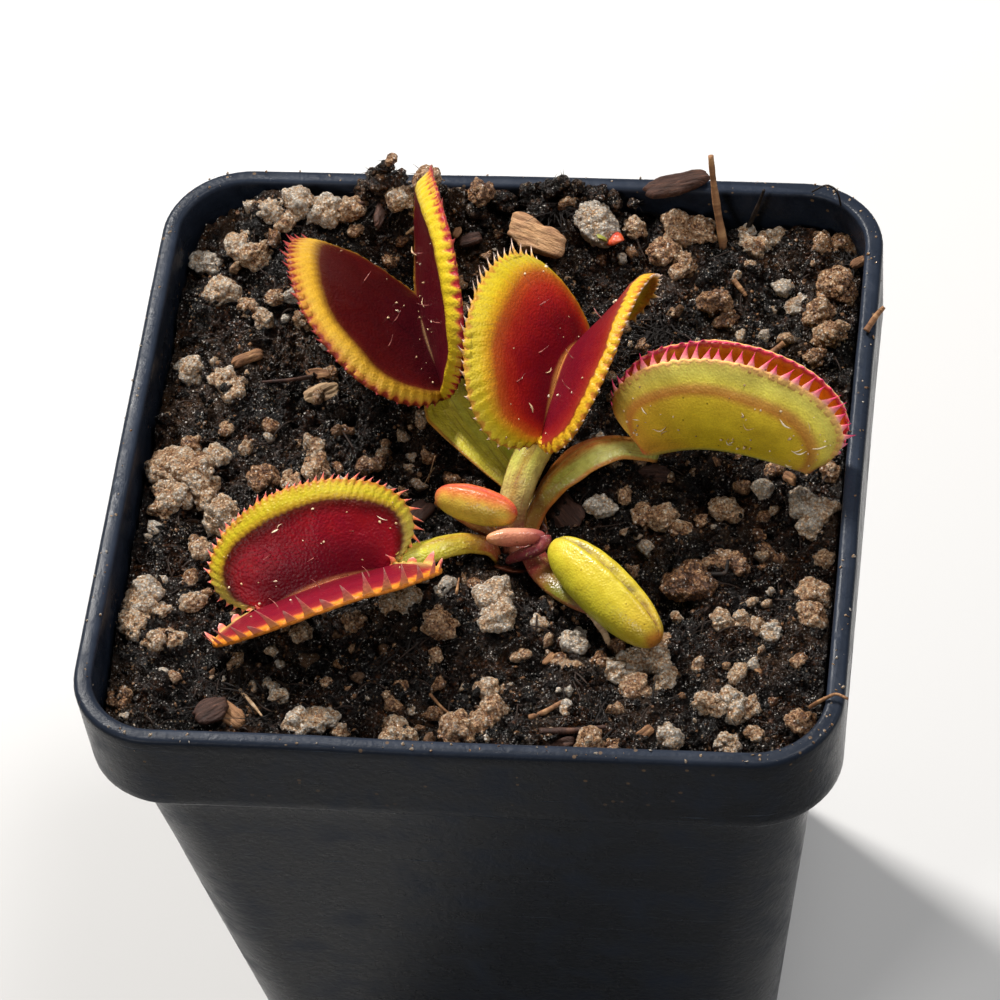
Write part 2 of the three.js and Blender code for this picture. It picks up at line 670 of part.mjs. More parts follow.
// A petiole: a strap with a thick middle and thin edges, carried along its curve.
function petiole(leaf, trap) {
  const { along, opens } = trapAxes(trap);
  const end = vec(trap.joint)
    .addScaledVector(along, PETIOLE.intoTrap)
    .addScaledVector(opens, -PETIOLE.under);
  const curve = new THREE.CubicBezierCurve3(...leaf.path.map(vec), end);
  const shares = [0, 0.16, 0.32, 0.48, 0.64, 0.78, 0.88, 0.94, 0.98, 1];
  const steps = [-1, -0.55, 0, 0.55, 1];
  const roll = THREE.MathUtils.degToRad(leaf.roll);
  const rings = shares.map((share) => {
    const centre = curve.getPoint(share);
    const ahead = curve.getTangent(share);
    const across = ahead.clone().cross(new THREE.Vector3(0, 0, 1)).normalize()
      .applyAxisAngle(ahead, roll);
    const up = across.clone().cross(ahead);
    const half = petioleHalf(leaf, share);
    const ring = [];
    for (const way of [1, -1]) {
      for (const step of (way > 0 ? steps : [...steps].reverse())) {
        const thickness = PETIOLE.edge + (PETIOLE.middle - PETIOLE.edge) * (1 - step * step);
        ring.push(centre.clone()
          .addScaledVector(across, half * step)
          .addScaledVector(up, leaf.arch * (1 - step * step) + way * thickness / 2));
      }
    }
    return ring;
  });
  return loft(rings);
}

function grownLeaf(name) {
  return petiole(PETIOLES[name], TRAPS[name]).add(trapSheet(TRAPS[name]));
}

// A closed young trap: an egg from heel to toe, dented along the seam of its margins.
function pod(young) {
  const heel = vec(young.heel);
  const toe = vec(young.toe);
  const ahead = toe.clone().sub(heel);
  const length = ahead.length();
  ahead.normalize();
  const up = vec(young.up);
  up.addScaledVector(ahead, -up.dot(ahead)).normalize();
  const across = up.clone().cross(ahead);
  const rings = [];
  for (let s = 1; s < PODS.along; s += 1) {
    const angle = s / PODS.along * Math.PI;
    const centre = heel.clone().addScaledVector(ahead, length * (1 - Math.cos(angle)) / 2);
    const girth = Math.sin(angle) ** 0.8;
    const ring = [];
    for (let i = 0; i < PODS.around; i += 1) {
      const turn = i / PODS.around * Math.PI * 2;
      const dent = 1 - young.seam * Math.exp(-((Math.min(turn, Math.PI * 2 - turn) / 0.35) ** 2));
      ring.push(centre.clone()
        .addScaledVector(up, young.high * girth * Math.cos(turn) * dent)
        .addScaledVector(across, young.thick * girth * Math.sin(turn)));
    }
    rings.push(ring);
  }
  return loft(rings);
}

function youngLeaf(young) {
  const curve = new THREE.CubicBezierCurve3(...young.path.map(vec));
  return join([tube(curve, () => young.stem, 8, 8), pod(young)]);
}

// ---- bark and twig ------------------------------------------------------------

// A flat flake with a ragged outline of nine corners and a worn top.
function flake(chip) {
  const draw = draws(chip.seed);
  const corners = 9;
  const [long, wide, thick] = chip.size;
  const reach = Array.from({ length: corners }, () => 0.84 + 0.16 * draw());
  const ring = (scale, z) => reach.map((share, k) => {
    const angle = k / corners * Math.PI * 2;
    return new THREE.Vector3(
      long / 2 * share * scale * Math.cos(angle),
      wide / 2 * share * scale * Math.sin(angle),
      z,
    );
  });
  const turned = [ring(0.88, -thick / 2), ring(1, -thick * 0.1), ring(0.86, thick / 2)]
    .map((points) => points.map((p) => p
      .applyAxisAngle(new THREE.Vector3(1, 0, 0), THREE.MathUtils.degToRad(chip.tilt))
      .applyAxisAngle(new THREE.Vector3(0, 0, 1), THREE.MathUtils.degToRad(chip.turn))
      .add(vec(chip.at))));
  return loft(turned);
}

function twigGrownBy(grow) {
  const foot = vec(TWIG.foot);
  const head = vec(TWIG.head);
  const middle = foot.clone().lerp(head, 0.5).add(new THREE.Vector3(-0.4, 0.2, 0));
  foot.addScaledVector(head.clone().sub(foot).normalize(), -grow);
  const curve = new THREE.QuadraticBezierCurve3(foot, middle, head);
  return tube(curve, (share) => TWIG.radius * (1 - 0.35 * share) + grow, 7, 5);
}

// ---- the whole ----------------------------------------------------------------

function makeGrowingMedium() {
  const keepOff = [
    [CROWN.x, CROWN.y, 6], [-15, -16, 9], [12, -15, 7], [0, 12, 13], [22, 2, 11],
    [TWIG.foot[0], TWIG.foot[1], 1.5],
    ...Object.values(CHIPS).map(({ at, size }) => [at[0], at[1], size[0] / 2 + 0.5]),
  ];
  const draw = draws(7);
  const grains = [...LARGE_GRAINS, ...smallGrains(keepOff)]
    .map(([x, y, radius]) => grain(x, y, radius, draw));
  return join([makePeat(), ...grains])
    .subtract(rhizomeGrownBy(CLEARANCE, 4))
    .subtract(twigGrownBy(CLEARANCE));
}

const flytrap = new THREE.Group();
flytrap.add(meshFrom(makePot(), 'pot', COLOURS.pot, 0.45));
flytrap.add(meshFrom(makeGrowingMedium(), 'growing_medium', COLOURS.peat, 0.8));
flytrap.add(meshFrom(rhizomeGrownBy(0, 0), 'rhizome', COLOURS.rhizome, 0.7));
for (const name of Object.keys(TRAPS)) {
  const colour = name === 'right' ? COLOURS.closedTrap : COLOURS.trap;
  flytrap.add(meshFrom(grownLeaf(name), `leaf_${name}`, colour, 0.4));
}
for (const [name, young] of Object.entries(YOUNG)) {
  flytrap.add(meshFrom(youngLeaf(young), `young_leaf_${name}`, COLOURS.youngTrap, 0.35));
}
for (const [name, chip] of Object.entries(CHIPS)) {
  const colour = name === 'wood_chip' ? COLOURS.wood : COLOURS.bark;
  flytrap.add(meshFrom(flake(chip), name, colour, 0.9));
}
flytrap.add(meshFrom(twigGrownBy(0), 'twig', COLOURS.wood, 0.85));

export default flytrap;
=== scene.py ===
"""A potted Venus flytrap: the looks of the pot, the peat and grains, the leaves and the debris.

Every number of a shape is in millimetres in the frame of the CAD model; `piece` turns them
into metres. The origin is the middle of the pot's base, +Z is up and +Y is the back.
"""
import math
from types import SimpleNamespace as Facts
import bmesh
import bpy
import numpy as np
from mathutils import Matrix, Vector


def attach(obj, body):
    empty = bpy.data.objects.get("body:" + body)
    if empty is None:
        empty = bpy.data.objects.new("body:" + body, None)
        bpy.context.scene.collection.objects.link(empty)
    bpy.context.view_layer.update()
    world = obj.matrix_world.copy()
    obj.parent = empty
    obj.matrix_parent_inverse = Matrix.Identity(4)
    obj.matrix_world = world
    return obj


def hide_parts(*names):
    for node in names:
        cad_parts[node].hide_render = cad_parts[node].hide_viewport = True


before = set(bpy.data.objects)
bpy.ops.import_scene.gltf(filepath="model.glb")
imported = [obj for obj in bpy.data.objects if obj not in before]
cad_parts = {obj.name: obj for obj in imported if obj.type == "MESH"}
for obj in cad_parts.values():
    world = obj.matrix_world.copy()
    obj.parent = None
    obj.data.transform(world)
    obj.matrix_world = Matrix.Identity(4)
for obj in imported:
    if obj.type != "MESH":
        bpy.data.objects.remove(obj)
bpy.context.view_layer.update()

MM = .001
SEEDS = Facts(soil=7, fibres=23, tufts=29, crown=41, trap=50, rim_crumbs=61, pod=70, clods=71, rim_tufts=73,
  petiole=90, dust=130)

# ---- camera, floor and light ----

EYE = Facts(right=(.99050793, .10866736, -.08417508), up=(-.03110607, .77369934, .63278887),
  back=(.1338897, -.62416403, .76973554), place=(.068851, -.318642, .465899), lens=195.5, film=36)
LAMPS_LOOK_AT = (0, 0, .07)
LAMPS = dict(
  lamp_key=Facts(place=(-.24, .30, .46), size=.075, watts=4.6, colour=(1.0, .97, .93)),
  lamp_top=Facts(place=(.16, .10, .62), size=.16, watts=1.7, colour=(1.0, .98, .96)),
  lamp_right=Facts(place=(.50, .05, .26), size=.2, watts=.5, colour=(.92, .96, 1.0)),
  lamp_front=Facts(place=(-.30, -.50, .46), size=.18, watts=1.35, colour=(1.0, .98, .95)))
SKY = Facts(colour=(.9, .93, 1.0, 1), strength=.09)
FLOOR = Facts(half=3, colour=(.6, .6, .6, 1), roughness=.8)


def placed(name, data):
  """A new object of the scene with its data."""
  made = bpy.data.objects.new(name, data)
  bpy.context.scene.collection.objects.link(made)
  return made


def place_camera():
  """The camera stands where the eye's three axes and its place, in metres, say."""
  eye = bpy.data.cameras.new("camera")
  eye.sensor_width = EYE.film
  eye.lens = EYE.lens
  eye.clip_start = .01
  holder = placed("camera", eye)
  holder.matrix_world = Matrix([*zip(EYE.right, EYE.up, EYE.back, EYE.place), (0, 0, 0, 1)])
  bpy.context.scene.camera = holder


def light_the_studio():
  """Square lamps turned towards one point, their places in metres: a key lamp behind and above on
  the left, a broad one above, and two weak ones; and a faint sky."""
  for name, facts in LAMPS.items():
    lamp = bpy.data.lights.new(name, "AREA")
    lamp.size = facts.size
    lamp.energy = facts.watts
    lamp.color = facts.colour
    holder = placed(name, lamp)
    holder.location = facts.place
    holder.rotation_euler = (Vector(LAMPS_LOOK_AT) - Vector(facts.place)).to_track_quat("-Z", "Y").to_euler()
  world = bpy.data.worlds.new("studio")
  world.use_nodes = True
  sky = world.node_tree.nodes["Background"].inputs
  sky["Color"].default_value = SKY.colour
  sky["Strength"].default_value = SKY.strength
  bpy.context.scene.world = world
  bpy.context.scene.view_settings.view_transform = "Standard"


def lay_floor():
  """A plain pale square under the pot, its half in metres."""
  mesh = bpy.data.meshes.new("floor")
  h = FLOOR.half
  mesh.from_pydata([(-h, -h, 0), (h, -h, 0), (h, h, 0), (-h, h, 0)], [], [(0, 1, 2, 3)])
  floor = placed("floor", mesh)
  finish = bpy.data.materials.new("pale_floor")
  finish.use_nodes = True
  shader = finish.node_tree.nodes["Principled BSDF"].inputs
  shader["Base Color"].default_value = FLOOR.colour
  shader["Roughness"].default_value = FLOOR.roughness
  mesh.materials.append(finish)


# ---- numbers to shapes ----


def srgb(red, green, blue):
  """A colour as it looks on a screen, 0 to 255, turned into linear light."""
  return tuple(((c / 255 + .055) / 1.055) ** 2.4 if c > 10 else c / 3295 for c in (red, green, blue))


def unit(rows):
  """Each row divided by its length."""
  return rows / np.maximum(np.linalg.norm(rows, axis=-1, keepdims=True), 1e-12)


def circle(count):
  """Angles at even steps round a circle."""
  return np.arange(count) / count * 2 * math.pi


def corner_value(cell, seed):
  """A number from -1 to 1 for each whole-number corner: the fraction of a large sine."""
  wave = np.sin(cell[..., 0] * 127.1 + cell[..., 1] * 311.7 + cell[..., 2] * 74.7 + seed * 19.19)
  wave = wave * 43758.5453
  return (wave - np.floor(wave)) * 2 - 1


def noise(points, seed):
  """Smooth noise, -1 to 1: the eight corner values of each cell, mixed by eased distance."""
  cell = np.floor(points)
  part = points - cell
  ease = part * part * (3 - 2 * part)
  total = 0
  for corner in np.ndindex(2, 2, 2):
    weight = np.prod(np.where(np.array(corner) > 0, ease, 1 - ease), axis=-1)
    total = total + weight * corner_value(cell + np.array(corner), seed)
  return total


def heading(angle):
  """The level direction at an angle from +X."""
  return np.array([math.cos(angle), math.sin(angle), 0])


def swung(a, b, angle):
  """Two coordinates turned by an angle about the third."""
  c, s = math.cos(angle), math.sin(angle)
  return a * c - b * s, a * s + b * c


def sheet_faces(rows, columns, round_columns=False):
  """The four-cornered faces of a grid of points that are numbered row by row."""
  i = np.arange(rows - 1)[:, None]
  j = np.arange(columns if round_columns else columns - 1)[None, :]
  beside = (j + 1) % columns
  below = (i + 1) * columns
  corners = [i * columns + j, i * columns + beside, below + beside, below + j]
  return np.stack(np.broadcast_arrays(*corners), -1).reshape(-1, 4)


def shell(points, faces, **traits):
  """A surface: points in millimetres, faces, and traits with one value for each point."""
  points = np.asarray(points, float)
  shape = points.shape[:-1]
  values = {name: np.broadcast_to(value, shape).reshape(-1).astype(float) for name, value in traits.items()}
  return {"points": points.reshape(-1, 3), "faces": np.asarray(faces), "traits": values}


def outward(surface):
  """The closed surface with its faces turned if the volume inside them comes out negative."""
  p = surface["points"][surface["faces"]] - surface["points"].mean(0)
  volume = np.einsum("ij,ij->i", p[:, 0], np.cross(p[:, 1], p[:, 2])).sum()
  if p.shape[1] == 4:
    volume += np.einsum("ij,ij->i", p[:, 0], np.cross(p[:, 2], p[:, 3])).sum()
  if volume < 0:
    surface["faces"] = surface["faces"][:, ::-1]
  return surface


def piece(name, surfaces, finish, node="growing_medium", weld=.0, smooth=True):
  """One object from its surfaces: their points and faces one after another."""
  points = np.concatenate([s["points"] for s in surfaces]) * MM
  starts = np.cumsum([0] + [len(s["points"]) for s in surfaces])
  loops = [(s["faces"] + start).ravel() for s, start in zip(surfaces, starts)]
  sizes = [np.full(len(s["faces"]), s["faces"].shape[1]) for s in surfaces]
  corners = np.concatenate(loops)
  counts = np.concatenate(sizes)
  mesh = bpy.data.meshes.new(name)
  mesh.vertices.add(len(points))
  mesh.vertices.foreach_set("co", points.astype(np.float32).ravel())
  mesh.loops.add(len(corners))
  mesh.loops.foreach_set("vertex_index", corners.astype(np.int32))
  mesh.polygons.add(len(counts))
  mesh.polygons.foreach_set("loop_start", (np.cumsum(counts) - counts).astype(np.int32))
  mesh.update(calc_edges=True)
  for trait in sorted({t for s in surfaces for t in s["traits"]}):
    values = [s["traits"].get(trait, np.zeros(len(s["points"]))) for s in surfaces]
    layer = mesh.attributes.new(trait, "FLOAT", "POINT")
    layer.data.foreach_set("value", np.concatenate(values).astype(np.float32))
  if weld:
    work = bmesh.new()
    work.from_mesh(mesh)
    bmesh.ops.remove_doubles(work, verts=work.verts, dist=weld * MM)
    bmesh.ops.dissolve_degenerate(work, edges=work.edges, dist=weld * MM * .1)
    work.to_mesh(mesh)
    work.free()
  mesh.validate()
  if smooth:
    mesh.shade_smooth()
  mesh.materials.append(finish)
  made = placed(name, mesh)
  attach(made, "root")
  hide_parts(node)
  return made


def bezier(points, share):
  """A cubic Bezier curve: the four points weighed by the Bernstein polynomials of the share."""
  a, b, c, d = (np.asarray(p, float) for p in points)
  s = np.asarray(share, float)[..., None]
  return a * (1 - s) ** 3 + 3 * b * s * (1 - s) ** 2 + 3 * c * s ** 2 * (1 - s) + d * s ** 3


def bezier_way(points, share):
  """The direction of a cubic Bezier curve, from its derivative."""
  a, b, c, d = (np.asarray(p, float) for p in points)
  s = np.asarray(share, float)[..., None]
  return unit(3 * (b - a) * (1 - s) ** 2 + 6 * (c - b) * s * (1 - s) + 3 * (d - c) * s ** 2)


def tube_shell(rings, **traits):
  """A closed tube from rings of points: its four-cornered faces cut in two, and a fan at each
  end round the middle of the last ring. A trait has a value for each ring or each point."""
  rows, sides = rings.shape[:2]
  quads = sheet_faces(rows, sides, round_columns=True)
  j = np.arange(sides)
  beside = (j + 1) % sides
  count = rows * sides
  head = np.stack([np.full(sides, count), beside, j], -1)
  tail = np.stack([np.full(sides, count + 1), count - sides + j, count - sides + beside], -1)
  points = np.concatenate([rings.reshape(-1, 3), rings[:1].mean(1), rings[-1:].mean(1)])
  values = {}
  for name, value in traits.items():
    value = np.asarray(value, float)
    if value.ndim == 1:
      value = value[:, None]
    value = np.broadcast_to(value, (rows, sides)).reshape(-1)
    values[name] = np.concatenate([value, value[:1], value[-1:]])
  faces = np.concatenate([quads[:, [0, 1, 2]], quads[:, [0, 2, 3]], head, tail])
  return outward(shell(points, faces, **values))


def strand(centres, radii, sides, flat=1.0, **traits):
  """A tube along centres: a ring of each radius at right angles to the way, and flattened."""
  ahead = unit(np.gradient(centres, axis=0))
  lead = np.where(np.abs(ahead[:, 2:3]) > .9, (1.0, .0, .0), (.0, .0, 1.0))
  across = unit(np.cross(lead, ahead))
  third = np.cross(ahead, across)
  turn = circle(sides)
  cos, sin = np.cos(turn)[None, :, None], np.sin(turn)[None, :, None]
  ring = cos * across[:, None] + flat * sin * third[:, None]
  radii = np.broadcast_to(radii, len(centres))
  return tube_shell(centres[:, None] + radii[:, None, None] * ring, **traits)


def round_ball(splits):
  """An icosahedron whose triangles are split into four, again and again, on the unit sphere."""
  g = (1 + 5 ** .5) / 2
  four = np.array([(-1, g, 0), (1, g, 0), (-1, -g, 0), (1, -g, 0)])
  p = np.concatenate([np.roll(four, k, axis=1) for k in range(3)])
  f = np.array([(0, 11, 5), (0, 5, 1), (0, 1, 7), (0, 7, 10), (0, 10, 11), (1, 5, 9), (5, 11, 4),
    (11, 10, 2), (10, 7, 6), (7, 1, 8), (3, 9, 4), (3, 4, 2), (3, 2, 6), (3, 6, 8), (3, 8, 9),
    (4, 9, 5), (2, 4, 11), (6, 2, 10), (8, 6, 7), (9, 8, 1)])
  for _ in range(splits):
    edges = np.sort(np.concatenate([f[:, [0, 1]], f[:, [1, 2]], f[:, [2, 0]]]), axis=1)
    own, back = np.unique(edges, axis=0, return_inverse=True)
    ab, bc, ca = (back.reshape(-1)[k * len(f):(k + 1) * len(f)] + len(p) for k in range(3))
    p = np.concatenate([p, (p[own[:, 0]] + p[own[:, 1]]) / 2])
    a, b, c = f.T
    f = np.concatenate([np.stack(t, 1) for t in ((a, ab, ca), (b, bc, ab), (c, ca, bc), (ab, bc, ca))])
  return unit(p), f


def turned(count, draw):
  """Random turns as 3 by 3 matrices: unit quaternions from four normal draws each."""
  w, x, y, z = unit(draw.normal(size=(count, 4))).T
  rows = [(1 - 2 * (y * y + z * z), 2 * (x * y - z * w), 2 * (x * z + y * w)),
    (2 * (x * y + z * w), 1 - 2 * (x * x + z * z), 2 * (y * z - x * w)),
    (2 * (x * z - y * w), 2 * (y * z + x * w), 1 - 2 * (x * x + y * y))]
  return np.moveaxis(np.array(rows), -1, 0)


# ---- nodes ----

bench = {}  # the node tree that is being built


def reckoning(operation):
  """A wire's method for one kind of sum with another value."""
  return lambda a, b=.0: put("Math", {0: a, 1: b}, operation=operation)


class Wire:
  """A node's output, which can be reckoned with like a number."""

  def __init__(self, socket):
    self.socket = socket

  def beside(self, name):
    """Another output of the same node."""
    return Wire(self.socket.node.outputs[name])

  __add__ = reckoning("ADD")
  __sub__ = reckoning("SUBTRACT")
  __mul__ = reckoning("MULTIPLY")
  __truediv__ = reckoning("DIVIDE")
  __pow__ = reckoning("POWER")
  __lt__ = reckoning("LESS_THAN")
  __abs__ = reckoning("ABSOLUTE")


def feed(socket, value):
  """Links a wire to a socket, or sets a plain value on it."""
  if isinstance(value, Wire):
    bench["tree"].links.new(value.socket, socket)
  else:
    socket.default_value = value


def put(kind, inputs, out=0, **settings):
  """A node with its settings made and its inputs fed, as the wire from one of its outputs."""
  node = bench["tree"].nodes.new("ShaderNode" + kind)
  for name, value in settings.items():
    setattr(node, name, value)
  for name, value in inputs.items():
    feed(node.inputs[name], value)
  return Wire(node.outputs[out])


def fade(value, low, high, to_low=.0, to_high=1.0):
  """The value taken from one range to another, eased at both ends and held there."""
  inputs = {"Value": value, "From Min": low, "From Max": high, "To Min": to_low, "To Max": to_high}
  return put("MapRange", inputs, interpolation_type="SMOOTHSTEP")


def mix(share, a, b):
  """Colour a turned into colour b by a share; a plain colour is one on a screen, 0 to 255."""
  a, b = (value if isinstance(value, Wire) else (*srgb(*value), 1) for value in (a, b))
  return put("Mix", {"Factor": share, 6: a, 7: b}, 2, data_type="RGBA")


def ramp(value, stops):
  """A colour for each value: stops of place, red, green and blue, with straight blends between."""
  wire = put("ValToRGB", {"Fac": value})
  marks = wire.socket.node.color_ramp.elements
  while len(marks) < len(stops):
    marks.new(.5)
  for mark, (place, *colour) in zip(marks, stops):
    mark.position = place
    mark.color = (*srgb(*colour), 1)
  return wire


def trait(name):
  """The value that a surface gives each of its points under a name."""
  return put("Attribute", {}, "Fac", attribute_name=name)


def grainy(place, scale, detail=4.0, roughness=.6, distortion=0.0):
  """Noise from 0 to 1, with its scale in waves for each millimetre."""
  inputs = {"Vector": place, "Scale": scale, "Detail": detail, "Roughness": roughness,
    "Distortion": distortion}
  return put("TexNoise", inputs, "Fac")


def new_group(name, outputs, **inputs):
  """An empty node group on the bench, with its inputs' kinds told by their values. It gives the
  group, the wires from its inputs and the sockets of its outputs."""
  tree = bpy.data.node_groups.new(name, "ShaderNodeTree")
  bench["tree"] = tree
  for label, value in inputs.items():
    kind = "Float" if isinstance(value, float) else "Vector" if len(value) == 3 else "Color"
    socket = tree.interface.new_socket(label, in_out="INPUT", socket_type="NodeSocket" + kind)
    socket.default_value = value
  for label, kind in outputs:
    tree.interface.new_socket(label, in_out="OUTPUT", socket_type="NodeSocket" + kind)
  given = {s.name: Wire(s) for s in tree.nodes.new("NodeGroupInput").outputs if s.name}
  return tree, given, tree.nodes.new("NodeGroupOutput").inputs


def cells_of(given, **settings):
  """The distances in a Voronoi pattern at a group's place and scale."""
  return put("TexVoronoi", {"Vector": given["Vector"], "Scale": given["Scale"]}, "Distance", **settings)


def group_of_specks():
  """Specks: round spots in some of a Voronoi pattern's cells, as a mask."""
  tree, given, made = new_group("specks", [("Mask", "Float")], Vector=(0, 0, 0), Scale=1.0,
    Share=.1, Radius=.3)
  cells = cells_of(given)
  chosen = put("SeparateColor", {"Color": cells.beside("Color")})
  feed(made["Mask"], (chosen < given["Share"]) * (cells < given["Radius"]))
  return tree


def group_of_skin():
  """Leaf skin: small pimples from smooth Voronoi cells with finer noise, as a height."""
  tree, given, made = new_group("leaf_skin", [("Height", "Float")], Vector=(0, 0, 0), Scale=4.0, Wrinkle=.0)
  cells = cells_of(given, feature="SMOOTH_F1")
  folds = grainy(given["Vector"], 1.1, 3.0, distortion=.6)
  feed(made["Height"], cells * -.8 + folds * given["Wrinkle"])
  return tree


def group_of_mottle():
  """Mottle: a colour made lighter and darker, and turned in hue, by cloudy noise."""
  tree, given, made = new_group("mottle", [("Color", "Color")], Vector=(0, 0, 0), Scale=1.0,
    Strength=.3, Color=(.5, .5, .5, 1))
  swing = (grainy(given["Vector"], given["Scale"], 5.0, .5) - .5) * given["Strength"]
  inputs = {"Hue": swing * .06 + .5, "Value": swing * 2.5 + 1.0, "Color": given["Color"]}
  feed(made["Color"], put("HueSaturation", inputs))
  return tree


def group_of_crumble():
  """Crumbly stuff: Voronoi lumps with noise over them, as a height and a mask of its pits."""
  tree, given, made = new_group("crumble", [("Height", "Float"), ("Pits", "Float")],
    Vector=(0, 0, 0), Scale=2.0)
  lumps = cells_of(given)
  fine = grainy(given["Vector"], given["Scale"] * 2.3, 5.0, .65)
  height = lumps * -.7 + fine * .9
  feed(made["Height"], height)
  inputs = {"Value": height, "From Min": .05, "From Max": .4, "To Min": 1.0, "To Max": .0}
  feed(made["Pits"], put("MapRange", inputs))
  return tree


speck_group = group_of_specks()
skin_group = group_of_skin()
mottle_group = group_of_mottle()
crumble_group = group_of_crumble()


def use(group, out, **inputs):
  """A group put on the bench and fed, as the wire from one of its outputs."""
  return put("Group", inputs, out, node_tree=group)


def specks(place, scale, share, radius):
  """The mask of specks: how many a millimetre, the share that shows and how large they are."""
  return use(speck_group, "Mask", Vector=place, Scale=scale, Share=share, Radius=radius)


def mottled(place, scale, strength, colour):
  """The colour with mottle over it."""
  return use(mottle_group, "Color", Vector=place, Scale=scale, Strength=strength, Color=colour)


def skin(place, scale, wrinkle):
  """The height of leaf skin, its scale in pimples for each millimetre."""
  return use(skin_group, "Height", Vector=place, Scale=scale, Wrinkle=wrinkle)


def crumble(place, scale):
  """The crumbly height, with the mask of its pits beside it."""
  return use(crumble_group, "Height", Vector=place, Scale=scale)


def new_finish(name, **sockets):
  """A material on the bench: itself, its shader's sockets and the place in millimetres."""
  finish = bpy.data.materials.new(name)
  finish.use_nodes = True
  bench["tree"] = finish.node_tree
  shader = finish.node_tree.nodes["Principled BSDF"].inputs
  for label, value in sockets.items():
    shader[label.replace("_", " ")].default_value = value
  place = put("TexCoord", {}, "Object")
  return finish, shader, put("VectorMath", {0: place, "Scale": 1000.0}, operation="SCALE")


def bumped(shader, height, distance, under=None):
  """A bump of the height, in millimetres, on the shader's normal."""
  inputs = {"Height": height, "Distance": distance * MM, "Strength": 1.0}
  if under is not None:
    inputs["Normal"] = under
  normal = put("Bump", inputs)
  feed(shader["Normal"], normal)
  return normal


# ---- finishes ----


def plastic_finish():
  """Near black plastic: dust in clouds, scratches in long streaks, dry splashes of earth; a painted
  reflection in lighter blue-grey patches on the collar's inner wall and a painted highlight along the rim's
  top.
  """
  finish, shader, place = new_finish("black_pot_plastic", Specular_IOR_Level=.1)
  right = put("SeparateXYZ", {0: place}, "X")
  height = right.beside("Z")
  dust = fade(grainy(place, .22, 7.0, .65), .42, .75)
  long_way = put("Mapping", dict(Vector=place, Scale=(.12, .12, 3.2)))
  scratch = fade(grainy(long_way, 1.0, 8.0, .7), .62, .7)
  colour = mix(dust, (5, 9, 16), (14, 23, 36))
  colour = mix(scratch * .4, colour, (60, 74, 92))
  # Painted reflection: above the soil, the collar's inner wall is made a lighter blue-grey in patches, as if
  # it caught the light.
  outwards = abs(right / POT.rim_half) ** 8.0 + abs(right.beside("Y") / POT.rim_half) ** 8.0
  painted_wall_sheen = fade(outwards ** .125, .984, .98) * fade(height, UNDER_COLLAR, POT.height - 3)
  painted_wall_sheen = painted_wall_sheen * fade(grainy(place, .4, 5.0), .3, .7, .3, .8)
  colour = mix(painted_wall_sheen, colour, (38, 45, 58))
  # Painted highlight: the top of the rim is made a lighter blue-grey.
  colour = mix(fade(height, POT.height - .6, POT.height - .1, .0, .5), colour, (46, 53, 66))
  splash = specks(place, 1.3, .07, .24) * fade(height, UNDER_COLLAR - 2, POT.height)
  colour = mix(splash * .55, colour, (120, 96, 70))
  feed(shader["Base Color"], colour)
  feed(shader["Roughness"], dust * .22 + .27 + splash * .35)
  bumped(shader, grainy(place, 1.6, 6.0) + scratch * -.5, .06)
  return finish


def peat_finish():
  """Wet peat: blacks and browns in patches, bits of rusty fibre and sand, painted shade in its pits, and
  water on it all, whose glints are painted as pale specks.
  """
  finish, shader, place = new_finish("wet_peat", Specular_IOR_Level=.28)
  patches = grainy(place, .3, 6.0, .65)
  patches = patches * .6 + grainy(place, 2.6, 3.0) * .4
  colour = ramp(patches, [(.38, 5, 2, 1), (.47, 19, 10, 5), (.54, 48, 27, 13),
    (.61, 104, 60, 30), (.7, 160, 108, 64)])
  fibres = put("Mapping", dict(Vector=place, Scale=(.5, 2.4, 1.2), Rotation=(.3, .2, .9)))
  fibres = fade(grainy(fibres, 2.4, 5.0), .57, .66)
  colour = mix(fibres * .5, colour, (96, 54, 28))
  # Painted shade: the pits of the crumbly relief are made near black.
  pits = crumble(place, 2.2).beside("Pits")
  colour = mix(pits * .8, colour, (4, 3, 2))
  colour = mix(trait("tint"), colour, (180, 134, 96))
  sand = specks(place, 2.8, .16, .28)
  colour = mix(sand * .6, colour, (170, 146, 118))
  # Painted glints: clusters of near white specks in two sizes stand in for light caught by water on the
  # peat.
  where = fade(grainy(place, .8, 3.0), .42, .58, .15, .9)
  for scale, share, size in ((2.6, .3, .22), (4.0, .36, .27)):
    painted_glints = specks(place, scale, share, size)
    colour = mix(painted_glints * where, colour, (222, 216, 208))
  feed(shader["Base Color"], colour)
  feed(shader["Roughness"], fade(grainy(place, .7, 5.0), .35, .65, .2, .42))
  coarse = bumped(shader, crumble(place, 2.2), .6)
  bumped(shader, grainy(place, 3.6, 2.0, .6), .4, under=coarse)
  return finish


def grain_finish():
  """Baked clay and pumice grains: tan to pale by their tint, salted, pitted with painted shade in the pits,
  damp, and glittering with painted glints.
  """
  finish, shader, place = new_finish("tan_grain")
  tint = trait("tint") + (grainy(place, .9) - .5) * .8
  tint = tint + (grainy(place, 4.5, 2.0, .6) - .5) * 2.0
  colour = ramp(tint, [(0, 84, 50, 30), (.2, 158, 108, 70),
    (.45, 222, 172, 126), (.7, 246, 212, 172), (1, 252, 244, 230)])
  # Painted shade: the pits of the crumbly relief are made dark brown.
  pits = crumble(place, 3.2).beside("Pits")
  colour = mix(pits * .6, colour, (64, 40, 24))
  stain = fade(grainy(place, .45, 6.0), .56, .74)
  colour = mix(stain * .5, colour, (110, 68, 38))
  # Painted glints: near white specks stand in for sparkle on the grains.
  painted_sparkle = specks(place, 2.7, .3, .26)
  colour = mix(painted_sparkle * .65, colour, (250, 244, 234))
  feed(shader["Base Color"], colour)
  feed(shader["Roughness"], fade(grainy(place, 1.4, 4.0), .35, .65, .12, .45))
  coarse = bumped(shader, crumble(place, 3.2), .4)
  bumped(shader, grainy(place, 5.0, 2.0, .6), .16, under=coarse)
  return finish


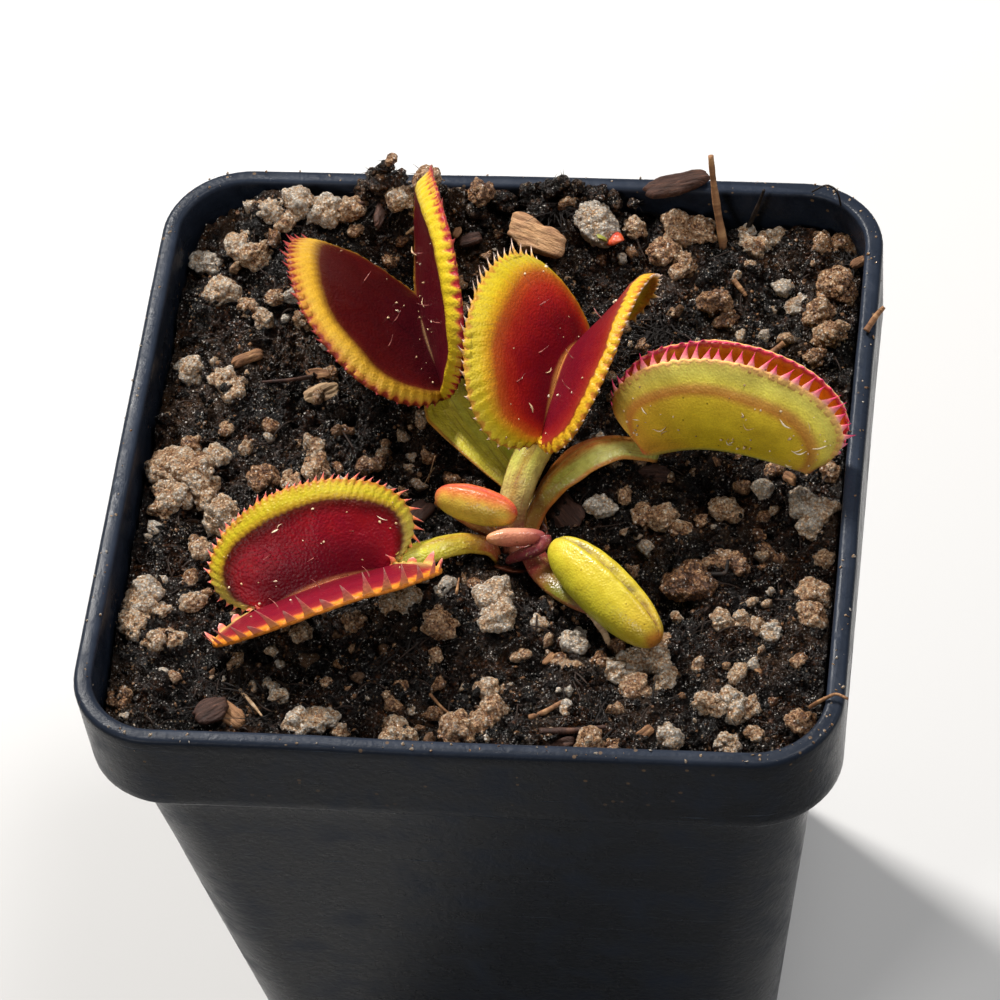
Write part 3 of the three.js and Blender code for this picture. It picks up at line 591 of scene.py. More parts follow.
def wood_finish(name, light, dark, edge):
  """Weathered wood or bark: streaks along the piece's own way, darker in its cracks."""
  finish, shader, place = new_finish(name, Roughness=.62, Specular_IOR_Level=.3)
  way = put("CombineXYZ", {0: trait("lengthwise") * .35, 1: trait("crosswise") * 2.6, 2: .0})
  streaks = grainy(way, 1.5, 6.0, .7, distortion=.4)
  colour = ramp(streaks, [(.3, *dark), (.55, *light), (.75, *edge)])
  colour = mottled(place, .6, .4, colour)
  feed(shader["Base Color"], colour)
  bumped(shader, streaks + grainy(place, 5.0) * .35, .25)
  return finish


def plain_plant_finish(name, light, dark, roughness):
  """Roots, sprouts and hairs: two colours in clouds over leaf skin."""
  finish, shader, place = new_finish(name, Roughness=roughness)
  cloud = grainy(place, .8, 5.0)
  feed(shader["Base Color"], mix(fade(cloud, .35, .65), dark, light))
  bumped(shader, skin(place, 3.0, .6), .1)
  return finish


BAND = 8.0   # a trap's colour stops reach this many millimetres in from its margin


def edge_stops(stops):
  """Colour stops with their millimetres turned into shares of the band."""
  return [(place / BAND, *colour) for place, *colour in stops]


def trap_finish(name, look):
  """A trap's skin: colour by the distance from the margin, apart for each lobe and for the
  inside and the outside, a darker heart, a midrib stripe, blushed ends and coloured teeth."""
  finish, shader, place = new_finish(name, Specular_IOR_Level=.13)
  lobe = trait("lobe")
  along = trait("along")
  rib = trait("rib")
  inner = fade(trait("inner"), .35, .65)
  wander = (grainy(place, .8) - .5) * look.wander
  depth = trait("edge") + wander
  depth = depth + trait("ridge") * look.ragged
  share = depth / BAND
  inside = mix(lobe, ramp(share, edge_stops(look.inside[1])), ramp(share, edge_stops(look.inside[0])))
  heart_colour, heart_share = look.heart
  heart = fade(rib, 7.0, .6) * fade(depth, 3.0, 6.0)
  inside = mix(heart * heart_share, inside, heart_colour)
  if look.end:
    pale, pale_share, at_both = look.end
    how_far = abs(along) if at_both else along
    at_end = fade(how_far, .45, .8) * fade(depth, 2.0, 1.4)
    inside = mix(at_end * pale_share, inside, pale)
  rib_colour, rib_half, rib_share = look.rib
  stripe = fade(rib + wander * .4, rib_half * .6, rib_half * 1.2, 1.0, .0)
  stripe = stripe * fade(abs(along), .95, .6)
  inside = mix(stripe * rib_share, inside, rib_colour)
  stretched = along * look.stretch + 1.0
  outside = ramp(share / stretched, edge_stops(look.outside))
  for ends, how_much, tone in look.ends:
    outside = mix(fade(along + wander * .3, *ends) * how_much, outside, tone)
  keel = fade(rib, .9, .5) * rib_share
  outside = mix(keel, outside, rib_colour)
  colour = mix(inner, outside, inside)
  teeth = ramp(trait("tip"), look.teeth)
  on_tooth = fade(trait("tip"), look.tooth_from, look.tooth_from + .2)
  colour = mix(on_tooth, colour, teeth)
  scale, strength, fine_strength = look.mottle
  colour = mottled(place, scale, strength, colour)
  colour = mottled(place, 7.0, fine_strength, colour)
  dots = specks(place, 1.3, look.dots, .13)
  colour = mix(dots * .6, colour, (60, 30, 16))
  feed(shader["Base Color"], colour)
  gloss = fade(grainy(place, 1.5), .3, .7, *look.gloss)
  feed(shader["Roughness"], gloss - stripe * .12)
  lengthwise = put("CombineXYZ", {0: along * 15.0, 1: rib * 4.0, 2: lobe})
  wrinkles = grainy(lengthwise, 1.3, 3.0) * look.wrinkle
  bumped(shader, skin(place, look.skin, .2) + wrinkles, look.bump)
  return finish


def petiole_finish(name, look):
  """A petiole's skin: colour by its length, with a stripe along the middle and a line on each
  edge, darker veins along it and an earthy foot."""
  finish, shader, place = new_finish(name, Specular_IOR_Level=.28)
  across = abs(trait("across"))
  along = trait("along")
  cloud = (grainy(place, .7) - .5) * .35
  body = ramp(along + cloud * .5, look.length)
  over = trait("across") + cloud
  body = mix(fade(over, *look.side_from), body, ramp(along + cloud, look.side))
  tone, half, share = look.stripe
  body = mix(fade(across, .02, half, share, .0), body, tone)
  tone, share = look.rim
  body = mix(fade(across, .86, .97, .0, share), body, tone)
  body = mottled(place, 1.4, .3, body)
  lines = put("CombineXYZ", {0: along * 3.0, 1: trait("across") * 9.0, 2: .0})
  tone, share = look.veins
  body = mix(fade(grainy(lines, 1.0, 4.0), .5, .68) * share, body, tone)
  flecks = fade(grainy(place, 5.0, 2.0), .6, .7)
  body = mix(flecks * .3, body, (226, 214, 150))
  dots = specks(place, 1.6, .16, .16)
  body = mix(dots * .5, body, (96, 56, 30))
  feed(shader["Base Color"], body)
  feed(shader["Roughness"], fade(grainy(place, 1.2, 4.0), .3, .7, .24, .5))
  bumped(shader, skin(place, 4.5, .5), .07)
  return finish


def pod_finish(name, look):
  """A closed young trap's skin: colour by the way round from its seam and by its length, with
  a blush at the toe and a dotted seam."""
  finish, shader, place = new_finish(name, Specular_IOR_Level=.34)
  cloud = (grainy(place, .6) - .5) * .25
  turn = trait("turn") + cloud
  colour = ramp(turn, look.round)
  along = trait("along") + cloud * .3
  for ends, how_much, tone in look.ends:
    colour = mix(fade(along, *ends) * how_much, colour, tone)
  seam = trait("seam")
  broken = fade(grainy(place, 1.7, 5.0), .45, .6)
  tone, share = look.seam
  colour = mix(seam * broken * share, colour, tone)
  colour = mottled(place, 1.2, .22, colour)
  colour = mottled(place, 7.0, .14, colour)
  dots = specks(place, 1.1, .22, .1)
  colour = mix(dots * .55, colour, (110, 70, 30))
  feed(shader["Base Color"], colour)
  gloss = fade(grainy(place, 1.2, 4.0), .3, .7, *look.gloss)
  feed(shader["Roughness"], gloss + seam * .4)
  bumped(shader, skin(place, 5.0, .35), .05)
  return finish


# ---- the looks of each leaf: colours as red, green and blue from 0 to 255 ----

# A stop's place before its colour is in millimetres from the margin for the inside and outside of a
# trap, and else a share of the length or of the way round. Two values after a colour are its half
# width and its strength, and one is its strength.

TRAP_LOOKS = dict(
  back_left=Facts(wander=.35, ragged=.3, stretch=.0,
    inside=[[(0, 120, 40, 26), (.25, 170, 112, 42), (.8, 190, 148, 48), (1.4, 184, 140, 38),
      (1.9, 124, 84, 24), (2.3, 78, 24, 12), (3.2, 68, 9, 10), (7.5, 58, 6, 9)],
      [(0, 150, 30, 40), (.2, 186, 110, 44), (.4, 200, 170, 40), (1.1, 200, 174, 32), (1.35, 170, 136, 30),
      (1.5, 80, 14, 18), (3.0, 84, 13, 22), (7.5, 78, 10, 20)]], heart=((66, 8, 20), .7),
    end=((138, 92, 40), .65, False),
    outside=[(0, 150, 60, 30), (.6, 170, 138, 44), (2.2, 150, 132, 46), (5.0, 130, 124, 44)],
    rib=((142, 112, 78), .9, .85), ends=[], teeth=[(0, 178, 120, 50), (.35, 150, 56, 44), (1, 156, 66, 70)],
    tooth_from=.0, mottle=(.8, .2, .2), dots=.04, gloss=(.34, .5), skin=4.5, wrinkle=.15, bump=.07),
  centre=Facts(wander=.6, ragged=.22, stretch=.0,
    inside=[[(0, 180, 130, 44), (.25, 192, 170, 44), (1.1, 190, 162, 30), (1.8, 194, 138, 26),
      (2.5, 184, 84, 26), (3.8, 172, 42, 22), (5.2, 156, 23, 23), (7.5, 136, 15, 24)],
      # The dark stop at .8 mm of the second lobe lies on its flange's crease: painted shadow of the crease.
      [(0, 180, 110, 34), (.2, 204, 160, 36), (.6, 206, 156, 32), (.8, 122, 46, 20), (1.1, 136, 40, 26),
      (2.4, 124, 22, 24), (4.2, 106, 12, 25), (7.5, 98, 10, 27)]], heart=((98, 9, 26), .7), end=None,
    outside=[(0, 200, 120, 44), (.5, 204, 158, 40), (2.0, 180, 158, 44), (5.0, 150, 150, 50)],
    rib=((176, 118, 62), .9, .9), ends=[],
    teeth=[(0, 200, 170, 56), (.4, 200, 150, 90), (.75, 226, 200, 180), (1, 226, 190, 180)], tooth_from=.1,
    mottle=(.8, .18, .18), dots=.02, gloss=(.34, .48), skin=4.5, wrinkle=.15, bump=.07),
  front_left=Facts(wander=.25, ragged=.15, stretch=.0,
    inside=[[(0, 190, 110, 34), (.35, 206, 140, 44), (.6, 190, 90, 46), (.85, 140, 34, 42),
      # The dark stops at 1.75 and 2.2 mm of the second lobe lie on its flange's crease: painted shadow of
      # the crease.
      (2.4, 122, 18, 38), (7.5, 118, 15, 34)], [(0, 176, 110, 40), (.25, 190, 160, 44), (.9, 184, 166, 34),
      (1.4, 166, 132, 30), (1.75, 80, 26, 14), (2.2, 100, 12, 16), (3.0, 142, 18, 32), (4.6, 142, 18, 34),
      (7.5, 108, 10, 27)]], heart=((94, 9, 25), .8), end=((196, 184, 104), .6, True),
    outside=[(0, 206, 120, 50), (.5, 196, 158, 50), (2.2, 170, 160, 52), (5.0, 150, 150, 56)],
    rib=((158, 92, 62), .7, .9), ends=[],
    teeth=[(0, 255, 200, 96), (.3, 255, 150, 104), (.7, 255, 124, 120), (1, 246, 186, 170)], tooth_from=.0,
    mottle=(.8, .16, .16), dots=.02, gloss=(.3, .44), skin=4.0, wrinkle=.3, bump=.09),
  right=Facts(wander=.3, ragged=.06, stretch=.35,
    inside=[[(0, 216, 70, 90), (.3, 236, 156, 64), (1.5, 250, 190, 56), (3.2, 214, 136, 46)]] * 2,
    heart=((110, 60, 24), .3), end=None,
    outside=[(0, 240, 180, 110), (.3, 250, 226, 108), (.9, 255, 240, 112), (1.7, 252, 232, 92),
      (2.2, 226, 168, 76), (2.7, 212, 144, 60), (3.3, 242, 206, 58), (5.0, 236, 204, 52),
      (7.5, 220, 192, 44)], rib=((176, 176, 90), .5, .6),
    ends=[((-.1, -.8), .6, (220, 140, 66)), ((-.74, -.97), .85, (214, 66, 80)),
      ((.45, .85), .35, (220, 168, 70)), ((.78, .97), .8, (210, 84, 76))],
    teeth=[(0, 240, 190, 150), (.3, 236, 130, 136), (.65, 224, 70, 112), (1, 212, 56, 100)], tooth_from=.0,
    mottle=(.45, .3, .22), dots=.2, gloss=(.28, .48), skin=4.5, wrinkle=.2, bump=.06))

PETIOLE_LOOKS = dict(
  back_left=Facts(length=[(0, 130, 76, 36), (.25, 186, 166, 52), (.6, 200, 188, 60), (1, 186, 166, 46)],
    side=[(0, 124, 74, 36), (.5, 168, 168, 50), (1, 176, 160, 46)], side_from=(.2, .6),
    stripe=((176, 178, 70), .2, .4), rim=((168, 96, 34), .8), veins=((112, 70, 30), .5)),
  centre=Facts(length=[(0, 130, 80, 60), (.3, 196, 170, 104), (.6, 204, 200, 96), (1, 200, 172, 58)],
    side=[(0, 140, 84, 60), (.4, 184, 164, 96), (1, 186, 166, 60)], side_from=(.4, .8),
    stripe=((164, 112, 50), .4, .6), rim=((150, 110, 50), .5), veins=((150, 84, 60), .55)),
  front_left=Facts(length=[(0, 150, 70, 36), (.3, 176, 150, 40), (.65, 190, 186, 54), (.9, 176, 170, 84),
      (1, 196, 176, 140)], side=[(0, 150, 76, 36), (.4, 160, 130, 40), (1, 176, 170, 52)],
    side_from=(.3, .7), stripe=((140, 88, 40), .35, .5), rim=((176, 150, 50), .5),
    veins=((134, 84, 36), .5)),
  right=Facts(length=[(0, 140, 80, 40), (.3, 188, 112, 44), (.6, 200, 106, 50), (1, 200, 152, 60)],
    side=[(0, 150, 110, 50), (.3, 164, 160, 60), (.7, 200, 196, 110), (1, 176, 180, 90)], side_from=(.0, .5),
    stripe=((190, 170, 90), .12, .4), rim=((190, 96, 40), .7), veins=((150, 80, 36), .45)))

STALK_LOOKS = dict(
  upper=Facts(length=[(0, 120, 60, 40), (.3, 170, 130, 50), (1, 190, 150, 60)],
    side=[(0, 110, 50, 40), (.4, 160, 110, 50), (1, 180, 120, 50)], side_from=(.0, .5),
    stripe=((160, 90, 50), .3, .4), rim=((130, 60, 44), .5), veins=((110, 50, 36), .4)),
  small=Facts(length=[(0, 96, 40, 40), (.5, 116, 44, 50), (1, 130, 56, 60)],
    side=[(0, 90, 36, 36), (1, 120, 50, 54)], side_from=(.0, .5), stripe=((150, 84, 76), .4, .4),
    rim=((80, 30, 34), .5), veins=((80, 30, 34), .4)),
  front=Facts(length=[(0, 104, 42, 40), (.3, 132, 56, 48), (.45, 128, 100, 34), (.6, 116, 116, 32),
      (.75, 112, 80, 46), (1, 120, 90, 60)],
    side=[(0, 104, 42, 40), (.25, 124, 56, 44), (.4, 110, 110, 32), (.7, 112, 100, 40), (1, 120, 90, 60)],
    side_from=(.1, .6), stripe=((150, 120, 60), .3, .3), rim=((130, 60, 44), .5), veins=((110, 50, 36), .4)))

# Woods and fibres: the finish's name, and its light, dark and edge colours.
WOODS = dict(
  wood=("weathered_wood", (150, 108, 74), (84, 54, 34), (196, 156, 112)),
  bark=("dark_bark", (70, 44, 34), (28, 18, 15), (118, 82, 66)),
  pale=("dry_root", (190, 158, 122), (120, 88, 62), (222, 202, 172)),
  dark=("black_fibre", (30, 22, 18), (12, 9, 8), (70, 52, 40)),
  split=("pale_wood", (190, 146, 106), (122, 82, 52), (222, 190, 152)),
  moss=("moss_fibre", (48, 31, 21), (22, 14, 10), (104, 74, 50)))

# Small parts of plants: the finish's name, its light and dark colours, and its roughness.
SMALL_PLANTS = dict(
  hair=("trigger_hair", (196, 120, 110), (110, 30, 30), .35),
  crown=("crown_scale", (120, 66, 44), (52, 24, 20), .32),
  sprout_red=("red_sprout", (206, 88, 50), (170, 50, 34), .35),
  sprout_green=("green_sprout", (150, 150, 50), (110, 110, 36), .35))

POD_LOOKS = dict(
  upper=Facts(round=[(0, 196, 76, 54), (.22, 202, 112, 56), (.42, 194, 160, 60), (1, 186, 170, 64)],
    ends=[((.16, .0), .8, (186, 76, 60)), ((.9, 1.0), .6, (190, 70, 54))], seam=((150, 60, 40), .2),
    gloss=(.26, .4)),
  small=Facts(round=[(0, 206, 140, 110), (.5, 190, 108, 84), (1, 160, 76, 66)],
    ends=[((.5, .05), .9, (140, 56, 62)), ((.6, 1.0), .6, (206, 146, 90))], seam=((150, 60, 40), .1),
    gloss=(.2, .36)),
  # In the front pod the first round stop, a darker olive at the seam, is painted shadow in the seam's
  # groove.
  front=Facts(round=[(0, 132, 114, 30), (.06, 186, 166, 42), (.2, 204, 184, 56), (.3, 196, 176, 46),
      (.6, 176, 168, 40), (.85, 158, 158, 40), (1, 140, 144, 40)],
    ends=[((.07, -.02), .9, (170, 50, 40)), ((.35, .1), .3, (206, 150, 50))], seam=((104, 58, 22), .9),
    gloss=(.26, .4)))


# ---- pot ----

POT = Facts(height=80, rim_half=35, rim_corner=8.1, rim_band=1.7, rim_round=.5, collar_depth=10,
  collar_taper=.3, body_top=32.3, body_base=23.1, body_corner=7, wall=1.2, floor=1.6, drain_radius=3.2,
  drain_offset=14)


UNDER_COLLAR = POT.height - POT.collar_depth
INSIDE = POT.rim_half - POT.rim_band - POT.collar_taper   # half the room between the collar's walls
RIM_INNER_CORNER = POT.rim_corner - POT.rim_band
BODY_INNER_CORNER = POT.body_corner - POT.wall
UP_THE_COLLAR = (72.5, 75, 77.5)
DOWN_THE_COLLAR = (78.6, 77.2, 75.6, 74, 72.4, 71.2)
UP_THE_BODY = (24, 46, UNDER_COLLAR - 2)
DOWN_THE_BODY = (64, 54, 42, 30, 18, 8, 2)


def body_half(z):
  """Half the outer width below the collar: a straight line from the base's to the top's."""
  return POT.body_base + (POT.body_top - POT.body_base) * z / UNDER_COLLAR


def round_square(half, corner, z, steps=14, straight=10):
  """Points round a square with round corners: quarter circles joined by straight runs."""
  sweep = np.linspace(0, math.pi / 2, steps + 1)
  run = np.linspace(0, 1, straight + 2)[1:-1]
  ring = []
  for quarter in range(4):
    angle = sweep + quarter * math.pi / 2
    cx = (half - corner) * (1 if quarter in (0, 3) else -1)
    cy = (half - corner) * (1 if quarter < 2 else -1)
    arc = np.stack([cx + corner * np.cos(angle), cy + corner * np.sin(angle)], -1)
    ring.append(arc)
    way = np.array([-math.sin(angle[-1]), math.cos(angle[-1])]) * 2 * (half - corner)
    ring.append(arc[-1] + run[:, None] * way)
  flat = np.concatenate(ring)
  return np.column_stack([flat, np.full(len(flat), z)])


def pot_profile():
  """The wall's outline in rows of half width, corner radius and height: from the inner floor up,
  over the rim by two quarter circles, down the collar, round the step below it and to the base."""
  base = body_half(POT.floor) - POT.wall
  inner = POT.rim_half - POT.rim_band
  lower = POT.rim_half - POT.collar_taper
  r = POT.rim_round
  quarter = np.linspace(0, math.pi / 2, 5)
  rows = [(base - 6, .5, POT.floor), (base - .6, BODY_INNER_CORNER, POT.floor),
    (base, BODY_INNER_CORNER, POT.floor + .6)]
  rows += [(body_half(z) - POT.wall, BODY_INNER_CORNER, z) for z in UP_THE_BODY]
  rows += [(lower - POT.rim_band, RIM_INNER_CORNER, UNDER_COLLAR + POT.wall - .6)]
  rows += [(inner - .1, RIM_INNER_CORNER, z) for z in UP_THE_COLLAR]
  for a in quarter:
    out = r - r * math.cos(a)
    rows.append((inner + out, RIM_INNER_CORNER + out, POT.height - r + r * math.sin(a)))
  for a in quarter[::-1]:
    back = r - r * math.cos(a)
    rows.append((POT.rim_half - back, POT.rim_corner - back, POT.height - r + r * math.sin(a)))
  for z in DOWN_THE_COLLAR:
    share = (POT.height - z) / POT.collar_depth
    rows.append((POT.rim_half - POT.collar_taper * share, POT.rim_corner, z))
  rows += [(lower, POT.rim_corner, UNDER_COLLAR + .35), (lower - .1, POT.rim_corner, UNDER_COLLAR + .1),
    (lower - .35, POT.rim_corner - .2, UNDER_COLLAR), (POT.body_top + .5, 7.3, UNDER_COLLAR - .05),
    (POT.body_top + .12, 7.05, UNDER_COLLAR - .2), (POT.body_top - .05, 7, UNDER_COLLAR - .6)]
  rows += [(body_half(z), POT.body_corner, z) for z in DOWN_THE_BODY]
  rows += [(body_half(1), POT.body_corner, 1), (body_half(.4) - .25, POT.body_corner, .3),
    (POT.body_base - .8, POT.body_corner - .8, 0), (POT.body_base - 6, .5, 0)]
  return rows


def drain_cutters():
  """An upright cylinder through the floor for each of the four drain holes."""
  turn = circle(28)
  cutters = []
  for sx in (-1, 1):
    for sy in (-1, 1):
      x = sx * POT.drain_offset + POT.drain_radius * np.cos(turn)
      y = sy * POT.drain_offset + POT.drain_radius * np.sin(turn)
      ring = np.stack([x, y, np.zeros_like(x)], -1)
      cutters.append(tube_shell(np.stack([ring - (0, 0, 3), ring + (0, 0, 3)])))
  return cutters


def make_pot(finish):
  """The wall as one skin: a round square for each row of its profile, bowed a little outwards by
  noise above the base, as thin plastic is. The drain holes are cut at the end."""
  rings = np.stack([round_square(*row) for row in pot_profile()])
  bow = noise(rings / 17.0, 3) * .16 + noise(rings / 6.0, 5) * .04
  bow = bow * np.clip(rings[..., 2] / 8 - .5, 0, 1)
  rings = rings + unit(rings * (1, 1, 0)) * bow[..., None]
  made = piece("pot_shell", [tube_shell(rings)], finish, "pot", weld=.001)
  cutter = piece("drain_cutter", drain_cutters(), finish, "pot")
  cut = made.modifiers.new("drains", "BOOLEAN")
  cut.object = cutter
  cut.solver = "EXACT"
  shaped = bpy.data.meshes.new_from_object(made.evaluated_get(bpy.context.evaluated_depsgraph_get()))
  made.modifiers.clear()
  made.data = shaped
  bpy.data.objects.remove(cutter)
  shaped.set_sharp_from_angle(angle=math.radians(50))


# ---- traps ----

# Where a trap joins its petiole, the way along its midrib and the way it opens; its margin's ellipse
# and its midrib's two ends; and, first for the lobe on the far side of the fold and then for the other,
# how far it leans open in degrees, its hollow, its flange's width and bend, and its teeth.

TRAPS = dict(
  back_left=Facts(joint=(-5.15, 8.4, 78.6), along=(-.337, .941, -.034), opens=(-.242, -.034, .97), reach=9.6,
    rise=9.4, lift=6.2, near=6.4, far=6.4, skew=.6, open=(37, 28), dish=(.8, .4), edge=.7, wrap=(.98, .92),
    curl_far=(-1.6, .079), curl_near=(-2.3, .021), flange=((1.8, 20), (1.25, 62)), teeth=46, ridge=.09,
    slant=.5, sizes=((.35, .5, .8, 1.6, .7), (.3, .5, .7, .9, 1.0)), lean=(4, 20), sweep=(34, 34),
    thorn=(1.5, 1.5), every=(1, 1)),
  centre=Facts(joint=(5.2, .4, 81.9), along=(.151, .977, .151), opens=(-.184, -.273, .944), reach=9.5,
    rise=6.9, lift=4.3, near=7.1, far=6.4, skew=.7, open=(39, 49), dish=(.8, .4), edge=.7, wrap=(.87, .62),
    curl_far=(-1.8, .117), curl_near=(-3.2, .031), flange=((1.9, 14), (.75, 40)), teeth=42, ridge=.06,
    slant=.4, sizes=((.3, .6, 1.1, 1.6, 1.1), (.3, .4, .5, .8, 1.5)), lean=(6, 8), sweep=(34, 26),
    thorn=(1.6, 1.6), every=(1, 1)),
  front_left=Facts(joint=(-8.0, -12.8, 77.9), along=(-.936, -.293, -.196), opens=(.078, -.339, .938),
    reach=9.1, rise=5.3, lift=4.2, near=6.5, far=5.9, skew=-.2, open=(35, 75), dish=(.6, .8), edge=.7,
    wrap=(.85, .96), curl_far=(-1.3, .043), curl_near=(-.1, .071), flange=((.8, 8), (1.75, 12)), teeth=48,
    ridge=.04, slant=.25, sizes=((.7, 1.6, 2.0, 1.7, .5), (1.2, .9, .65, .65, .7)), lean=(80, 14),
    sweep=(4, -24), thorn=(.3, 1.3), every=(2, 1)),
  right=Facts(joint=(14.1, 2.0, 78.5), along=(.981, -.194, -.017), opens=(.034, .369, .929), reach=9.6,
    rise=6.4, lift=4.5, near=9.3, far=6.9, skew=-.2, open=(0, 13), dish=(-1.8, -1.8), edge=-.3,
    wrap=(.92, .97), curl_far=(2.1, .014), curl_near=(-.5, .049), flange=((1.0, 10), (1.5, 12)), teeth=38,
    ridge=.03, slant=.0, sizes=((.4, .6, .7, .6, .4), (.9, 1.4, 1.5, 1.5, 1.0)), lean=(16, 14), sweep=(4, 4),
    thorn=(1.2, 1.2), every=(1, 1)))

FOLD = .055   # how round the fold of a trap is, as a share of its lobe
# The rows of a lobe's grid, as shares of the way from the midrib to the margin.
LOBE_ROWS = (0, .018, .04, .07, .11, .17, .24, .32, .4, .48, .56, .63, .7, .76, .81, .86,
  .9, .935, .965, .985, 1)


def trap_axes(trap):
  """Along the midrib, the way it opens made square to that, and the way across."""
  along = unit(np.array(trap.along))
  opens = np.array(trap.opens)
  opens = unit(opens - along * opens.dot(along))
  return along, opens, np.cross(opens, along)


def curl_back(x, z, start, curl, way):
  """Bends the plane of the midrib back beyond a place: straight runs become arcs of a circle."""
  past = (x - start) * way
  turn = np.maximum(past, 0) * curl
  bent_x = start + way * np.sin(turn) * (1 / curl + z)
  bent_z = (1 / curl + z) * np.cos(turn) - 1 / curl
  return np.where(past > 0, bent_x, x), np.where(past > 0, bent_z, z)


def lobe_point(trap, side, t, v):
  """A point of a lobe, t from -1 to 1 along it and v from 0 on the midrib to 1 on the margin:
  straight lines from the midrib to part of an ellipse, tilted open by the side's angle, hollowed
  by v(1 - v), swollen where its flange bends outwards and bent backwards at both ends."""
  t, v = np.broadcast_arrays(np.asarray(t, float), np.asarray(v, float))
  pick = 0 if side > 0 else 1
  base = math.asin(min(.95, trap.lift / trap.rise))
  start = math.pi + base * trap.wrap[0]
  end = -base * trap.wrap[1]
  share = (t + 1) / 2
  angle = start + (end - start) * share
  rim_x = trap.reach * np.cos(angle) + trap.skew * np.sin(angle) ** 2
  rim_y = trap.lift + trap.rise * np.sin(angle)
  rib_x = -trap.near + share * (trap.near + trap.far)
  x = rib_x + (rim_x - rib_x) * v
  height = rim_y * v
  tilt = math.radians(trap.open[pick])
  arch = np.sqrt(np.maximum(np.sin(share * math.pi), 0))
  width, bend = flange_at(trap, side, t)
  length = np.hypot(rim_x - rib_x, rim_y) + 1e-6
  corner = 1 - np.clip(width / length, .02, .6)
  rising = (v / corner) ** 5
  falling = (1 - v) / (1 - corner)
  swollen = np.maximum(-np.log(np.exp(-9 * rising) + np.exp(-9 * falling)) / 9, 0)
  inward = trap.dish[pick] * 4 * v * (1 - v) * arch + trap.edge * v ** 2 + width * np.sin(bend) * swollen
  y = side * (height * math.sin(tilt) - inward * math.cos(tilt))
  z = height * math.cos(tilt) + inward * math.sin(tilt)
  joint = np.array(-trap.near), np.array(.0)
  for start_at, curl, way in ((*trap.curl_far, 1), (*trap.curl_near, -1)):
    x, z = curl_back(x, z, start_at, curl, way)
    joint = curl_back(*joint, start_at, curl, way)
  along, opens, across = trap_axes(trap)
  x, z = x - joint[0], z - joint[1]
  return np.array(trap.joint) + x[..., None] * along + y[..., None] * across + z[..., None] * opens


def flange_at(trap, side, t):
  """The width of the margin's band, which narrows to nothing at both ends, and its outward bend."""
  width, bend = trap.flange[0 if side > 0 else 1]
  narrow = np.clip((1 - np.abs(t)) / .34, 0, 1) ** .75
  uneven = 1 + .1 * np.sin(6 * t + width) + .05 * np.sin(15 * t)
  return width * narrow * uneven + .02, math.radians(bend)


def trap_point(trap, t, s):
  """A point of the folded sheet, s from -1 on one margin over 0 on the midrib to 1 on the other:
  the midrib plus both lobes' offsets, each faded in by an exponential so that the fold is round."""
  t, s = np.broadcast_arrays(np.asarray(t, float), np.asarray(s, float))
  soft = FOLD / 2 * np.exp(-np.abs(s) / FOLD)
  rib = lobe_point(trap, 1, t, np.zeros_like(t))
  one = lobe_point(trap, 1, t, np.minimum(np.maximum(s, 0) + soft, 1)) - rib
  other = lobe_point(trap, -1, t, np.minimum(np.maximum(-s, 0) + soft, 1)) - rib
  return rib + one + other


def trap_frame(trap, t, s):
  """Point, inward normal and way to the margin of the folded sheet, by small differences."""
  t, s = np.broadcast_arrays(np.asarray(t, float), np.asarray(s, float))
  step = .004
  low_t, high_t = np.maximum(t - step, -1), np.minimum(t + step, 1)
  low_s, high_s = np.maximum(s - step, -1), np.minimum(s + step, 1)
  down = unit(trap_point(trap, high_t, s) - trap_point(trap, low_t, s))
  over = trap_point(trap, t, high_s) - trap_point(trap, t, low_s)
  inward = unit(np.cross(down, over))
  return trap_point(trap, t, s), inward, unit(np.cross(inward, down)), down


def even_columns(trap, count):
  """Places along the trap that are evenly spaced on the mean of its two margins' lengths."""
  t = np.linspace(-1, 1, 1601)
  run = 0
  for side in (1, -1):
    edge = lobe_point(trap, side, t, np.ones_like(t))
    step = np.linalg.norm(np.diff(edge, axis=0), axis=1)
    run = run + np.concatenate([[0], np.cumsum(step)]) / step.sum()
  return np.interp(np.linspace(0, 1, count + 1), run / 2, t)


def sheet_half(s):
  """Half the sheet's thickness: less towards the margins by the cube of the share."""
  return .33 - .13 * np.abs(s) ** 3


